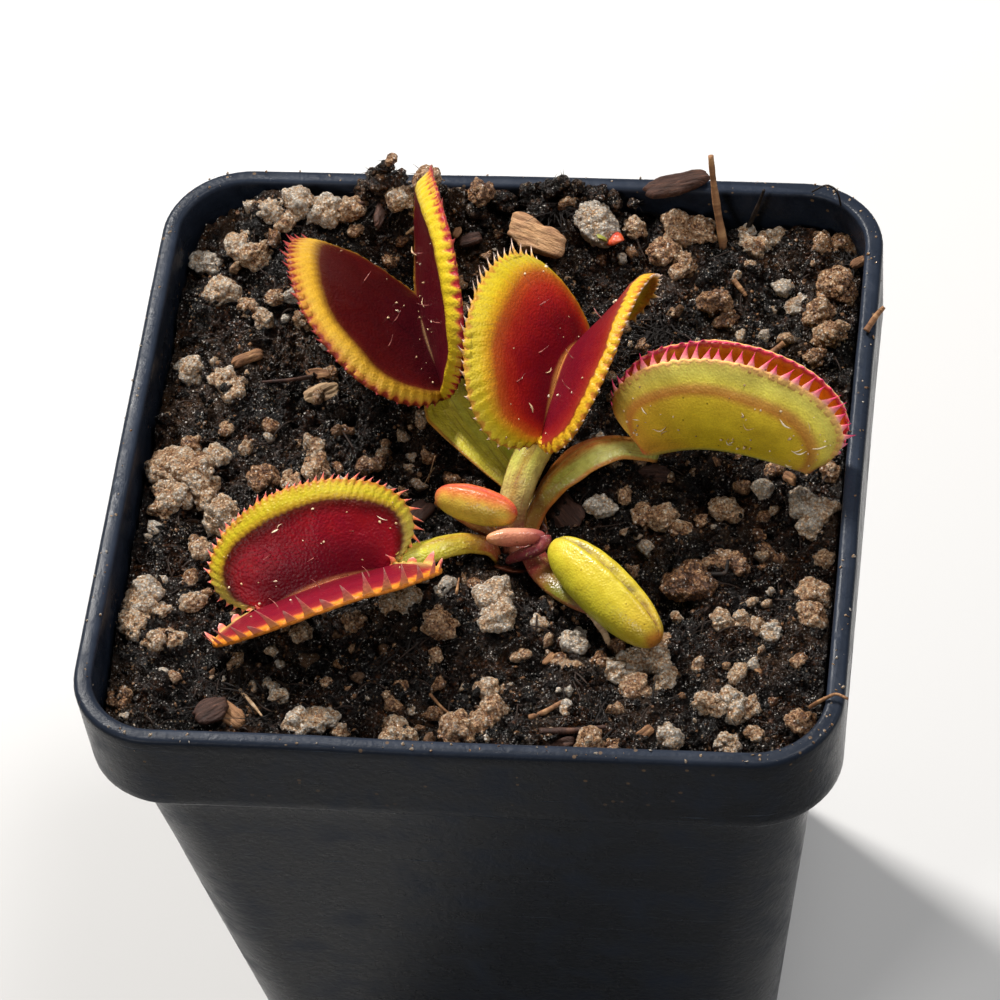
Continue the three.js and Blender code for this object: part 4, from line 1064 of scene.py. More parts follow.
def trap_sheet(trap, seed):
  """The folded sheet with its thickness: both faces, a half round along each margin and edges that
  thin out to nothing at the ends; ridges towards the teeth and a keel under the midrib."""
  per_tooth = 6
  t = even_columns(trap, trap.teeth * per_tooth)[:, None]
  k = (np.arange(len(t)) / per_tooth)[:, None]
  rows = np.array(LOBE_ROWS)
  s = np.concatenate([-rows[::-1], rows[1:]])[None, :]
  point, inward, outer, _ = trap_frame(trap, t, s)
  fold = trap_point(trap, t, np.zeros_like(t))
  margins = [trap_point(trap, t, np.full_like(t, end)) for end in (-1.0, 1.0)]
  width = np.stack([np.linalg.norm(margin - fold, axis=-1) for margin in margins], -1)[:, 0]
  reach = np.where(s > 0, width[:, 1:], width[:, :1])
  edge = (1 - np.abs(s)) * reach
  rib = np.abs(s) * reach
  wide = np.where(s > 0, flange_at(trap, 1, t)[0], flange_at(trap, -1, t)[0])
  whole = np.where(s > 0, trap.flange[0][0], trap.flange[1][0])
  band = np.where(edge < wide, edge / wide * whole, edge - wide + whole)
  ridge = -np.cos(2 * math.pi * (k - trap.slant * edge)) * np.exp(-(edge / wide) ** 2)
  ridge = ridge * (.65 + .5 * noise(point / 1.6, seed + 7))
  waves = .12 * noise(point / 3.1, seed) + .05 * noise(point / 1.2, seed + 3)
  point = point + inward * (trap.ridge * ridge + waves * np.clip(rib / 2, 0, 1))[..., None]
  point = point + np.sign(s)[..., None] * outer * (.1 * ridge * (edge < .8))[..., None]
  thin_end = np.sqrt(np.clip(1 - ((np.abs(t) - .955) / .045).clip(0, 1) ** 2, 0, 1))
  half = sheet_half(s) * thin_end
  keel = (.5 - .25 * (t + 1) / 2) * np.exp(-(rib / .8) ** 2) * thin_end
  front = point + inward * half[..., None]
  back = point - inward * (half + keel)[..., None]
  lobe = np.broadcast_to((s > 0) * 1.0, half.shape)
  bends = np.radians([30, 60, 90, 120, 150])
  strips = []
  for pick, way in ((slice(-1, None), 1), (slice(0, 1), -1)):
    out = outer[:, pick] * way
    up = inward[:, pick]
    angle = bends[::way]
    round_edge = np.cos(angle)[None, :, None] * up + np.sin(angle)[None, :, None] * out
    strips.append(point[:, pick] + half[:, pick, None] * round_edge)
  points = np.concatenate([front, strips[0], back[:, ::-1], strips[1]], 1)
  ones = np.ones((len(t), len(bends)))
  far = np.cos(bends) * .5 + .5

  def all_round(face, right, left, other_face=None):
    """A trait's values on the inside, the right margin, the outside and the left margin."""
    other_face = face[:, ::-1] if other_face is None else other_face
    return np.concatenate([face, right * ones, other_face, left * ones], 1)

  traits = dict(edge=all_round(band, 0, 0), rib=all_round(rib, width[:, 1:], width[:, :1]),
    ridge=all_round(ridge, ridge[:, -1:], ridge[:, :1]), lobe=all_round(lobe, 1, 0),
    inner=all_round(np.ones_like(half), far, far[::-1], np.zeros_like(half)),
    along=np.broadcast_to(t, points.shape[:2]), tip=np.zeros(points.shape[:2]))
  return tube_shell(points, **traits)


def trap_teeth(trap, seed):
  """The marginal teeth: for each one a flattened cone that starts inside the margin, sweeps to the
  trap's far end, leans over the trap and hooks on by the square of the distance. Long ones are
  slender, short ones are broad."""
  draw = np.random.default_rng(seed)
  teeth = []
  q = np.linspace(0, 1, 9)
  turn = circle(8)
  count = trap.teeth
  places = even_columns(trap, count * 4)[2::4]
  for pick, side in enumerate((1.0, -1.0)):
    point, inward, outer, down = trap_frame(trap, places, np.full_like(places, side))
    pitch = np.linalg.norm(np.gradient(point, axis=0), axis=1)
    sizes = np.interp(np.linspace(0, 1, count), np.linspace(0, 1, 5), trap.sizes[pick])
    every = trap.every[pick]
    for i in range(0, count, every):
      size = sizes[i] * draw.uniform(.6, 1.35)
      lean = math.radians(trap.lean[pick] + draw.normal() * 6)
      sweep = math.radians(trap.sweep[pick] + draw.normal() * 8)
      fade_out = math.sin(math.pi * (i + .5) / count) ** .5
      way = side * outer[i] * math.cos(sweep * fade_out) + down[i] * math.sin(sweep * fade_out)
      way = way * math.cos(lean) + inward[i] * math.sin(lean)
      x = -.5 + (size + .5) * q
      ahead = np.maximum(x, 0)
      back = np.minimum(x, 0)
      hook = draw.normal() * .15 + .2 * np.sign(trap.sweep[pick])
      bent = (ahead ** 2 / size)[:, None]
      spine = point[i] + side * outer[i] * back[:, None] + way * ahead[:, None]
      spine = spine + (.22 * inward[i] + hook * down[i]) * bent
      left = np.clip(1 - ahead / size, 0, 1)
      thorn = trap.thorn[pick] + .5 * (size - .6)
      wide = min(pitch[i] * every, 1.3) * draw.uniform(.4, .52) * left ** thorn + .012
      deep = .2 * left ** .8 + .012
      flat = np.cos(turn)[None, :, None] * wide[:, None, None] * down[i]
      thick = np.sin(turn)[None, :, None] * deep[:, None, None] * inward[i]
      ones = np.ones_like(q)
      teeth.append(tube_shell(spine[:, None] + flat + thick, edge=-ahead, rib=ones * 9, ridge=ones,
        lobe=ones * (side > 0), along=ones * places[i], tip=np.clip(x / size, 0, 1),
        inner=np.broadcast_to(.5 + .5 * np.sin(turn), (len(q), len(turn)))))
  return teeth


def trigger_hairs(trap):
  """Three bristles on each lobe: thin cones that stand on the inside and lean to the far end."""
  hairs = []
  q = np.linspace(0, 1, 6)
  for side in (1.0, -1.0):
    for t, v in ((-.3, .5), (.22, .52), (-.02, .3)):
      point, inward, _, down = trap_frame(trap, np.array(t), np.array(side * v))
      spine = point + inward * (.2 + 1.2 * q)[:, None] + down * (.5 * q ** 2)[:, None]
      hairs.append(strand(spine, .07 * (1 - q) + .012, sides=5))
  return hairs


# ---- petioles ----

PETIOLES = dict(
  back_left=Facts(path=[(4.4, -3.8, 76.0), (3.0, -.6, 76.7), (-1.4, 2.6, 77.9)], root=.9, shoulder=4.0,
    neck=.7, flare=1.7, belly=.2, arch=-.5, roll=0, round=.14),
  centre=Facts(path=[(2.4, -5.4, 76.2), (2.4, -3.6, 78.2), (3.9, -1.0, 80.6)], root=1.35, shoulder=1.9,
    neck=.7, flare=1.2, belly=.1, arch=.2, roll=0, round=.12),
  front_left=Facts(path=[(.2, -8.1, 75.9), (-1.8, -8.6, 77.6), (-5.0, -10.4, 78.1)], root=1.1, shoulder=1.7,
    neck=.8, flare=1.0, belly=.2, arch=.5, roll=12, round=.12),
  right=Facts(path=[(4.6, -4.2, 75.9), (6.6, -.4, 78.2), (9.8, 2.8, 79.8)], root=.9, shoulder=1.5, neck=.8,
    flare=1.0, belly=1.5, arch=.7, roll=-22, round=.1))

PETIOLE = Facts(middle=1.1, edge=.6, into_trap=1.6, under=.5)


def petiole_surface(leaf, trap, seed):
  """A strap along its curve: at each place a flat lens, thick in the middle and thin at its edges,
  whose middle arches up, rolled about the way; its width grows from root to shoulder and rounds
  off to the neck by a square root."""
  along, opens, _ = trap_axes(trap)
  end = np.array(trap.joint) + along * PETIOLE.into_trap - opens * PETIOLE.under
  path = [*leaf.path, end]
  share = np.linspace(-.16, 1, 66)
  foot = np.minimum(share, 0)
  centre = bezier(path, share) - (0, 0, 1) * (70 * foot ** 2)[:, None]
  ahead = bezier_way(path, np.maximum(share, 0))
  across = unit(np.cross(ahead, (.0, .0, 1.0)))
  up = np.cross(across, ahead)
  roll = math.radians(leaf.roll)
  across, up = (way * math.cos(roll) + np.cross(ahead, way) * math.sin(roll) for way in (across, up))
  wing = leaf.root + (leaf.shoulder - leaf.root) * np.maximum(share, 0) ** leaf.flare
  wing = wing + leaf.belly * np.sin(share * math.pi) ** 2
  rounding = np.sqrt(np.clip((1 - share) / leaf.round, 0, 1))
  half = leaf.neck + (wing - leaf.neck) * rounding
  turn = circle(36)
  step = np.cos(turn)[None, :]
  side = np.sin(turn)[None, :]
  thick = PETIOLE.edge + (PETIOLE.middle - PETIOLE.edge) * (1 - step ** 2)
  lens = np.sign(side) * np.abs(side) ** .7 * thick / 2
  rib = .16 * np.exp(-(step / .22) ** 2) * np.sign(side)
  lift = leaf.arch * (1 - step ** 2) + lens + rib * (side < 0)
  points = centre[:, None] + across[:, None] * (half[:, None] * step)[..., None]
  points = points + up[:, None] * lift[..., None]
  uneven = .12 * noise(points / 1.6, seed) + .04 * noise(points / .6, seed + 1)
  points = points + up[:, None] * uneven[..., None]
  return tube_shell(points, across=np.broadcast_to(step, points.shape[:2]), along=share)


# ---- young leaves ----

YOUNG = dict(
  upper=Facts(path=[(1.3, -6.4, 75.2), (-.6, -6.4, 77.4), (-3.0, -5.2, 78.0), (-4.2, -4.4, 78.4)], stem=.8,
    flat=.8, heel=(-4.5, -4.5, 78.9), toe=(3.4, -7.2, 79.6), high=1.75, thick=1.5, up=(.1, .5, .85),
    seam=.12, seam_width=.2),
  small=Facts(path=[(2.6, -9.0, 75.2), (3.4, -10.0, 77.6), (6.6, -10.3, 78.2), (6.1, -8.9, 78.7)], stem=.62,
    flat=.85, heel=(6.2, -8.7, 78.6), toe=(.8, -9.6, 79.1), high=.9, thick=.85, up=(0, .2, .95), seam=.05,
    seam_width=.2),
  front=Facts(path=[(4.2, -7.2, 75.2), (5.8, -11.2, 76.3), (8.0, -14.0, 76.0), (13.6, -15.6, 76.9)],
    stem=1.35, flat=.5, heel=(17.6, -20.2, 78.2), toe=(7.0, -9.8, 78.9), high=2.6, thick=2.45,
    up=(.35, .3, .9), seam=.24, seam_width=.15))


def pod_surface(young, seed):
  """A closed young trap: an egg from heel to toe, dented by a narrow bell along its seam, with a
  swelling on each side of the seam and a little unevenness."""
  heel, toe = np.array(young.heel), np.array(young.toe)
  length = np.linalg.norm(toe - heel)
  ahead = (toe - heel) / length
  up = np.array(young.up)
  up = unit(up - ahead * up.dot(ahead))
  across = np.cross(up, ahead)
  angle = np.linspace(.012, math.pi - .012, 64)
  turn = circle(64)
  away = np.minimum(turn, 2 * math.pi - turn)
  shut = np.sin(angle)[:, None] ** .5
  dent = young.seam * shut * np.exp(-(away / young.seam_width) ** 2)
  lip = .5 * young.seam * shut * np.exp(-((away - 2.3 * young.seam_width) / .22) ** 2)
  girth = np.sin(angle)[:, None] ** .8
  swell = 1 - dent + lip
  centre = heel + ahead * (length * (1 - np.cos(angle)) / 2)[:, None]
  round_it = girth * swell
  points = centre[:, None] + up * (young.high * round_it * np.cos(turn))[..., None]
  points = points + across * (young.thick * round_it * np.sin(turn))[..., None]
  points = points + unit(points - centre[:, None]) * (.05 * noise(points / 1.3, seed))[..., None]
  seam = np.exp(-(away / (young.seam_width * .7)) ** 2)
  return tube_shell(points, turn=np.broadcast_to(away / math.pi, points.shape[:2]),
    along=(1 - np.cos(angle)) / 2, seam=np.broadcast_to(seam, points.shape[:2]))


def stem_surface(young):
  """The young leaf's stalk: a flattened strand along its curve, narrower at its foot."""
  share = np.linspace(0, 1, 40)
  turn = circle(20)
  width = young.stem * (.75 + .25 * np.minimum(share / .3, 1))
  return strand(bezier(young.path, share), width, sides=20, flat=young.flat, along=share,
    across=np.broadcast_to(np.cos(turn), (40, 20)))


# ---- crown ----

BULB = Facts(at=(3.2, -7.0), radius=3.4, neck=2.3, length=16, top=75.1)


def crown_surfaces():
  """The bulb as rings on a vertical axis, its skin in five folded lobes; four roots below it; and
  the dry bases of old leaves round its neck, each a flat strand that widens and closes again."""
  draw = np.random.default_rng(SEEDS.crown)
  low = BULB.top - BULB.length
  z = np.linspace(low, BULB.top + .3, 40)
  radius = np.interp(z, [low, low + .6, low + 4.5, low + 9, BULB.top - 2, BULB.top + .3],
    [.3, 1.6, BULB.radius, BULB.radius * .92, BULB.neck, 1.2])
  turn = circle(60)
  lobes = 1 - .1 * np.abs(np.cos(2.5 * turn[None, :] + .25 * z[:, None]))
  ring = radius[:, None] * lobes
  at = np.array(BULB.at)
  height = np.broadcast_to(z[:, None], ring.shape)
  body = np.stack([at[0] + ring * np.cos(turn), at[1] + ring * np.sin(turn), height], -1)
  parts = [tube_shell(body + .08 * noise(body / .9, 2)[..., None])]
  s = np.linspace(0, 1, 14)
  for k in range(4):
    out = heading(k * math.pi / 2 + .5)
    spine = np.array([*at, low + 1.0]) + out * (9 * s)[:, None] - (0, 0, 1) * (34 * s ** 1.2)[:, None]
    spine = spine + .5 * noise(spine / 4, k)[:, None] * (1, .5, 0)
    parts.append(strand(spine, .9 - .45 * s, sides=8))
  for k in range(9):
    out = heading(k / 9 * 2 * math.pi + draw.uniform(-.25, .25))
    base = np.array([*at, 73.8]) + out * 1.9
    tip = np.array([*at, draw.uniform(75.6, 76.5)]) + out * draw.uniform(2.6, 3.9)
    spine = base + (tip - base) * s[:, None] + out * (.5 * s * (1 - s))[:, None]
    width = draw.uniform(.8, 1.3) * np.sin(math.pi * (.18 + .8 * s)) + .03
    parts.append(strand(spine, width, sides=12, flat=.24))
  return parts


# ---- peat, grains and crumbs ----

SOIL = Facts(level=75.3, relief=.9, lump_size=5.2, cells=198)
BACK_WALL = 32.2   # nothing that lies on the soil is further back

# Heaps and hollows of the peat: x, y, height above the level, radius.
HEAPS = [(-24, 32.5, 2.6, 5), (-18, 32, 1.4, 4), (-7, 32.5, 5.4, 4.6), (-14, 32, 2.6, 4.5), (4, 32, 3.4, 5),
  (-22, 27, 1.4, 6), (16, 29, 1.2, 6), (30, 16, .8, 6), (-27, 4, 1.0, 7), (3.2, -7.0, -.9, 6),
  (-15, -16, -1.6, 8), (7, 17, -1.0, 7), (-10, 21, -1.8, 7), (-10, 28, -2.3, 3.5), (22, 1, -.6, 8),
  (13, -16, -2.8, 7)]

# The grains: how far across and down the camera's view, and their radius, in thousandths of its
# width; and their paleness.
GRAINS = [(269, 208, 14, .75), (300, 194, 17, .8), (326, 210, 18, .85), (283, 222, 11, .6),
  (350, 203, 16, .7), (357, 229, 9, .5), (240, 248, 17, .7), (258, 253, 15, .6), (201, 264, 14, 1.0),
  (222, 291, 17, .75), (247, 307, 11, .6), (264, 320, 12, .65), (276, 297, 10, .45), (304, 318, 12, .55),
  (191, 371, 16, .85), (222, 379, 16, .7), (237, 388, 14, .7), (390, 262, 9, .4), (270, 425, 9, .4),
  (596, 205, 22, 1.0), (585, 212, 12, .9), (634, 228, 12, .6), (678, 220, 17, .45), (700, 226, 17, .5),
  (665, 252, 15, .45), (683, 266, 15, .5), (714, 303, 17, .3), (727, 318, 13, .3), (750, 221, 13, .65),
  (771, 222, 13, .7), (752, 248, 14, .65), (751, 268, 9, .6), (785, 288, 12, 1.0), (800, 304, 13, .85),
  (826, 236, 15, .5), (843, 244, 13, .5), (838, 288, 20, .35), (818, 314, 16, .5), (836, 337, 18, .55),
  (814, 357, 12, .4), (566, 286, 11, .4), (163, 468, 21, .65), (189, 470, 24, .7), (215, 457, 14, .75),
  (176, 494, 20, .65), (206, 492, 19, .7), (160, 512, 13, .7), (190, 447, 12, .45), (262, 477, 15, .35),
  (313, 449, 13, .65), (317, 468, 15, .6), (291, 484, 12, .6), (384, 455, 9, .65), (370, 467, 14, .35),
  (224, 519, 21, .7), (205, 549, 14, .6), (190, 577, 10, .45), (193, 603, 12, .55), (127, 593, 17, .8),
  (141, 604, 17, .75), (121, 625, 16, .65), (160, 611, 11, .7), (158, 639, 13, .7), (173, 638, 12, .65),
  (162, 686, 8, .85), (175, 677, 8, .5), (270, 684, 9, 1.0), (280, 697, 11, .95), (298, 725, 16, .8),
  (322, 723, 18, .85), (340, 733, 12, .6), (396, 735, 20, .55), (455, 733, 20, .5), (401, 601, 20, .65),
  (356, 622, 13, .4), (300, 634, 11, .5), (440, 621, 17, .4), (447, 590, 12, 1.0), (434, 656, 9, .6),
  (496, 597, 18, .75), (499, 617, 18, .8), (488, 690, 13, .65), (496, 708, 16, .55), (482, 723, 14, .5),
  (548, 606, 16, .7), (540, 624, 9, .7), (573, 643, 14, 1.0), (582, 635, 9, 1.0), (280, 665, 6, 1.0),
  (602, 506, 14, 1.0), (642, 518, 15, .6), (663, 517, 16, .55), (679, 529, 11, .5), (725, 508, 15, .6),
  (718, 560, 14, .45), (736, 566, 14, .4), (690, 582, 21, .2), (803, 502, 16, .85), (822, 511, 16, .8),
  (814, 528, 14, .75), (829, 560, 11, .65), (816, 596, 17, .55), (821, 617, 15, .55), (722, 620, 12, .7),
  (740, 622, 12, .65), (757, 626, 10, .7), (771, 631, 12, .8), (622, 668, 21, .75), (648, 662, 21, .7),
  (636, 689, 17, .6), (661, 683, 12, .75), (600, 663, 11, .45), (708, 705, 15, .75), (732, 703, 17, .8),
  (750, 707, 12, .7), (670, 738, 16, .9), (727, 744, 13, .75), (753, 735, 10, .65), (592, 744, 16, .45),
  (610, 746, 13, .45), (800, 722, 14, .45), (776, 470, 10, .4), (835, 470, 11, .4), (568, 710, 9, .9),
  (642, 636, 12, .6), (664, 642, 10, .55), (700, 664, 9, .6), (677, 619, 8, .6), (508, 690, 9, .6),
  (118, 700, 13, .35), (545, 735, 9, .5), (400, 685, 8, .5), (340, 665, 8, .45), (520, 655, 9, .5),
  (780, 560, 9, .4), (760, 535, 8, .35), (700, 520, 8, .5), (345, 430, 8, .4), (330, 375, 9, .4),
  (160, 420, 8, .45), (225, 430, 9, .4), (640, 460, 8, .45), (690, 470, 8, .4), (560, 660, 8, .5),
  (800, 660, 9, .4)]


def lumps(x, y):
  """Smooth noise over one unit: eased blends between the corner values of a square grid."""
  i, j = np.floor(x), np.floor(y)
  u, v = x - i, y - j
  su, sv = u * u * (3 - 2 * u), v * v * (3 - 2 * v)

  def corner(a, b):
    wave = np.sin(a * 127.1 + b * 311.7) * 43758.5453
    return (wave - np.floor(wave)) * 2 - 1

  near = corner(i, j) * (1 - su) + corner(i + 1, j) * su
  far = corner(i, j + 1) * (1 - su) + corner(i + 1, j + 1) * su
  return near * (1 - sv) + far * sv


def soil_height(x, y):
  """The level, lumps on it, and a bell for each heap or hollow."""
  z = SOIL.level + SOIL.relief * lumps(x / SOIL.lump_size + 9, y / SOIL.lump_size + 4)
  for hx, hy, height, radius in HEAPS:
    z = z + height * np.exp(-((x - hx) ** 2 + (y - hy) ** 2) / radius ** 2)
  return z


def peat_height(x, y):
  """The soil's height with its crumbly detail: three sizes of noise, the middle one ridged."""
  flat = np.stack([x, y, np.zeros_like(x)], -1)
  coarse = noise(flat / 2.3, 11) * .65
  ridged = (.5 - np.abs(noise(flat / 1.1, 12))) * 1.0
  fine = noise(flat / .55, 13) * .26 + noise(flat / .32, 14) * .12
  return soil_height(x, y) + coarse + ridged + fine


def sight(u, v, rise=.0):
  """The place that shows at u across and v down the camera's view, in thousandths of its width, a
  rise above the soil: the eye's ray cut with the height there, again and again, and stopped at the
  back wall. Also the millimetres that a thousandth of the view covers there."""
  right, up, back = np.array(EYE.right), np.array(EYE.up), np.array(EYE.back)
  eye = np.array(EYE.place) * 1000
  focal = EYE.lens / EYE.film * 1000
  ray = right * (u - 500) / focal - up * (v - 500) / focal - back
  z = SOIL.level + rise
  for _ in range(7):
    spot = eye + ray * (z - eye[2]) / ray[2]
    z = z * .4 + (float(soil_height(spot[0], spot[1])) + rise) * .6
  spot = spot - ray * max(spot[1] - BACK_WALL, 0) / ray[1]
  return spot, (eye - spot).dot(back) / focal


def into_pot(a, b, half, corner):
  """A point of the square from -1 to 1 moved onto a square with round corners: scaled along its
  own ray, by the ray's crossing with the corner's circle where it meets one."""
  largest = np.maximum(np.maximum(np.abs(a), np.abs(b)), 1e-9)
  x, y = np.abs(a) / largest * half, np.abs(b) / largest * half
  c = half - corner
  dot = (x + y) * c
  length = np.maximum(x * x + y * y, 1e-12)
  root = np.sqrt(np.maximum(dot * dot - length * (2 * c * c - corner * corner), 0))
  scale = np.where((x > c) & (y > c), (dot + root) / length, 1.0)
  return a * scale * half, b * scale * half


def peat_surface():
  """The bed of peat: a square grid moved into the pot's round square, raised to the peat's height,
  with a wall of three rings down to a flat foot."""
  n = SOIL.cells
  top_half = INSIDE - .25
  line = np.linspace(-1, 1, n + 1)
  a, b = np.meshgrid(line, line)
  x, y = into_pot(a, b, top_half, RIM_INNER_CORNER)
  top = np.stack([x, y, peat_height(x, y)], -1).reshape(-1, 3)
  at = np.arange((n + 1) ** 2).reshape(n + 1, n + 1)
  border = np.concatenate([at[0, :-1], at[:-1, -1], at[-1, :0:-1], at[:0:-1, 0]])
  u, v = a.reshape(-1)[border], b.reshape(-1)[border]
  foot_z = POT.floor + .3
  levels = [(top_half - .1, UNDER_COLLAR + 1.2, RIM_INNER_CORNER),
    (body_half(UNDER_COLLAR - 2) - POT.wall - .4, UNDER_COLLAR - 1.8, BODY_INNER_CORNER),
    (body_half(POT.floor) - POT.wall - .3, foot_z, BODY_INNER_CORNER)]
  points, faces, above = [top], [sheet_faces(n + 1, n + 1)], border
  total = len(top)
  for half, z, corner in levels:
    lx, ly = into_pot(u, v, half, corner)
    points.append(np.stack([lx, ly, np.full(len(u), z)], -1))
    below = total + np.arange(len(u))
    total += len(u)
    faces.append(np.stack([above, below, np.roll(below, -1), np.roll(above, -1)], -1))
    above = below
  points.append(np.array([[0, 0, foot_z]]))
  foot = np.full(len(u), total)
  faces.append(np.stack([above, foot, foot, np.roll(above, -1)], -1))
  quads = np.concatenate(faces)
  triangles = np.concatenate([quads[:, [0, 1, 2]], quads[:, [0, 2, 3]]])
  real = (triangles[:, 0] != triangles[:, 1]) & (triangles[:, 1] != triangles[:, 2])
  bed = np.concatenate(points)
  tint = np.clip(noise(bed / 4.0, 31) * .5 - .05, 0, 1) * .25
  return outward(shell(bed, triangles[real], tint=tint))


EIGHT_SIDES = (np.array([(1.0, 0, 0), (-1, 0, 0), (0, 1, 0), (0, -1, 0), (0, 0, 1), (0, 0, -1)]),
  np.array([(0, 2, 4), (2, 1, 4), (1, 3, 4), (3, 0, 4), (2, 0, 5), (1, 2, 5), (3, 1, 5), (0, 3, 5)]),)


def lump_shells(places, sizes, draw, splits, tints, roughness, squash):
  """Balls made uneven by noise, each stretched and turned its own way, all as one surface."""
  ball, faces = EIGHT_SIDES if splits is None else round_ball(splits)
  count = len(places)
  stretch = draw.uniform(squash[0], squash[1], (count, 1, 3))
  grown = ball[None] * stretch
  seeds = draw.uniform(-50, 50, (count, 1, 3))
  swell = 1 + roughness * noise(ball[None] * 1.3 + seeds, 0)
  swell = swell + roughness * .5 * noise(ball[None] * 3.1 + seeds, 1)
  grown = np.einsum("nij,nkj->nki", turned(count, draw), grown * swell[..., None])
  points = places[:, None] + grown * sizes[:, None, None]
  all_faces = faces[None] + (np.arange(count) * len(ball))[:, None, None]
  tint = np.broadcast_to(tints[:, None], points.shape[:2])
  return shell(points, all_faces.reshape(-1, 3), tint=tint)


def knobs(ball, count, draw):
  """Knobs all over a ball: one minus the square of the angle to the nearest of some random
  directions, over their usual distance."""
  spots = unit(draw.normal(size=(count, 3)))
  angle = np.arccos(np.clip((ball @ spots.T).max(1), -1, 1))
  return 1 - np.minimum(angle / (1.9 / math.sqrt(count)), 1.25) ** 2


def grain_shell(centre, radius, tint, draw):
  """A porous grain: along each direction of a finely split ball the far side of the furthest of
  several overlapping spheres, with coarse and fine knobs and noise on it."""
  ball, faces = round_ball(4 if radius > 1.9 else 3 if radius > 1.0 else 2)
  count = int(4 + 2 * radius)
  middles = unit(draw.normal(size=(count, 3))) * draw.uniform(.2, .45, (count, 1))
  radii = draw.uniform(.5, .7, count)
  reach = ball @ middles.T
  inside = radii ** 2 - (middles ** 2).sum(1) + reach ** 2
  far = np.where(inside > 0, reach + np.sqrt(np.maximum(inside, 0)), .35).max(1)
  start = draw.uniform(-40, 40, 3)
  p = ball * far[:, None] * radius * np.array([1.15, 1.15 * draw.uniform(.8, 1.0), .85])
  small = min(1.0, radius / 1.4)
  coarse = knobs(ball, int(7 * radius ** 2) + 6, draw)
  fine = knobs(ball, int(28 * radius ** 2) + 12, draw)
  broken = noise(p / 1.1 + start, 3)
  grit = noise(p / .34 + start, 5) + .6 * noise(p / .17 + start, 6)
  bumps = .2 * coarse + .13 * fine + .26 * broken + .13 * grit
  p = p + unit(p) * (small * bumps - .1)[:, None]
  p = np.stack([*swung(p[:, 0], p[:, 1], draw.uniform(0, 2 * math.pi)), p[:, 2]], -1)
  # Painted light and shade: the tint rises with the knobs and the grit, so raised parts come out paler and
  # hollows darker; the rest is the grain's own paleness and a random shift.
  tint = tint + draw.normal() * .05 + .14 * (coarse - .5) + .12 * (fine - .5) + .16 * grit
  return shell(p + centre, faces, tint=np.clip(tint, 0, 1))


def leaf_probes():
  """Points all over the leaves, that the crumbs keep clear of."""
  found = []
  grid_t, grid_s = np.meshgrid(np.linspace(-1, 1, 34), np.linspace(-1, 1, 30))
  for name, trap in TRAPS.items():
    found.append(trap_point(trap, grid_t, grid_s).reshape(-1, 3))
    found.append(petiole_surface(PETIOLES[name], trap, 1)["points"][::9])
  for young in YOUNG.values():
    found.append(pod_surface(young, 1)["points"][::23])
    found.append(stem_surface(young)["points"][::11])
  return np.concatenate(found)


def room_at(places, probes):
  """How far each place lies from the nearest probe."""
  nearest = np.full(len(places), 1e9)
  for block in np.array_split(probes, 60):
    away = np.linalg.norm(places[:, None] - block[None], axis=-1)
    nearest = np.minimum(nearest, away.min(1))
  return nearest


def clear_of(places, sizes, probes, gap):
  """Which places lie further from every probe than their size and a gap."""
  return room_at(places, probes) > sizes + gap


def in_pot(draw, count):
  """Random places in the pot's round square, as x and y."""
  return into_pot(draw.uniform(-1, 1, count), draw.uniform(-1, 1, count), INSIDE - .9, 6.0)


def seen_grains(probes):
  """The listed grains where they show, kept inside the pot, and smaller where a leaf is near."""
  spots = []
  for u, v, size, paleness in GRAINS:
    spot, scale = sight(u, v, rise=size * .035)
    radius = size * scale * 1.12
    edge = INSIDE - .2 - radius
    x, y = np.clip(spot[:2], -edge, edge)
    spots.append((x, y, float(soil_height(x, y)) + radius * .34, radius, paleness))
  spots = np.array(spots)
  room = room_at(spots[:, :3], probes) - .2
  spots[:, 3] = np.clip(room, .35, spots[:, 3])
  return spots


# The crumbs on the peat, from coarse to fine: how many, their sizes, how far they stand out, their
# gap to a leaf, the share of pale ones and how pale, the kind of ball, its roughness and squash.
CRUMBS = dict(
  peat_crumbs_1=(460, (.35, .85), .3, .15, .07, (.2, .9), 1, .7, (.4, 1.1)),
  peat_crumbs_2=(3800, (.14, .42), .3, .15, .07, (.2, .9), 0, .7, (.4, 1.1)),
  peat_grit=(11500, (.08, .26), .35, .12, .12, (.3, 1.0), None, .5, (.4, 1.3)))


def crumbs_on_peat(crumb, draw, probes):
  """Lumps at random places on the peat, clear of the leaves, some of them pale."""
  count, sizes, lift, gap, pale_share, paleness, splits, roughness, squash = crumb
  x, y = in_pot(draw, count)
  size = draw.uniform(*sizes, count)
  places = np.stack([x, y, peat_height(x, y) + size * lift], -1)
  keep = clear_of(places, size, probes, gap)
  pale = draw.uniform(size=count) < pale_share
  tints = np.where(pale, draw.uniform(*paleness, count), .0)
  return lump_shells(places[keep], size[keep], draw, splits, tints[keep], roughness, squash)


def small_lumps(listed, draw, probes):
  """Small grains at random places on the soil, clear of the leaves and of the listed grains."""
  count = 300
  x, y = in_pot(draw, count)
  size = draw.uniform(.4, 1.0, count) ** 1.6 * .95
  places = np.stack([x, y, soil_height(x, y) + .25 + size * .35], -1)
  away = np.hypot(x[:, None] - listed[None, :, 0], y[:, None] - listed[None, :, 1])
  keep = clear_of(places, size, probes, .25) & (away - listed[None, :, 3] > size[:, None] * .2).all(1)
  tints = draw.uniform(.15, 1.0, count)
  return lump_shells(places[keep], size[keep], draw, 1, tints[keep], roughness=.7, squash=(.6, 1.1))


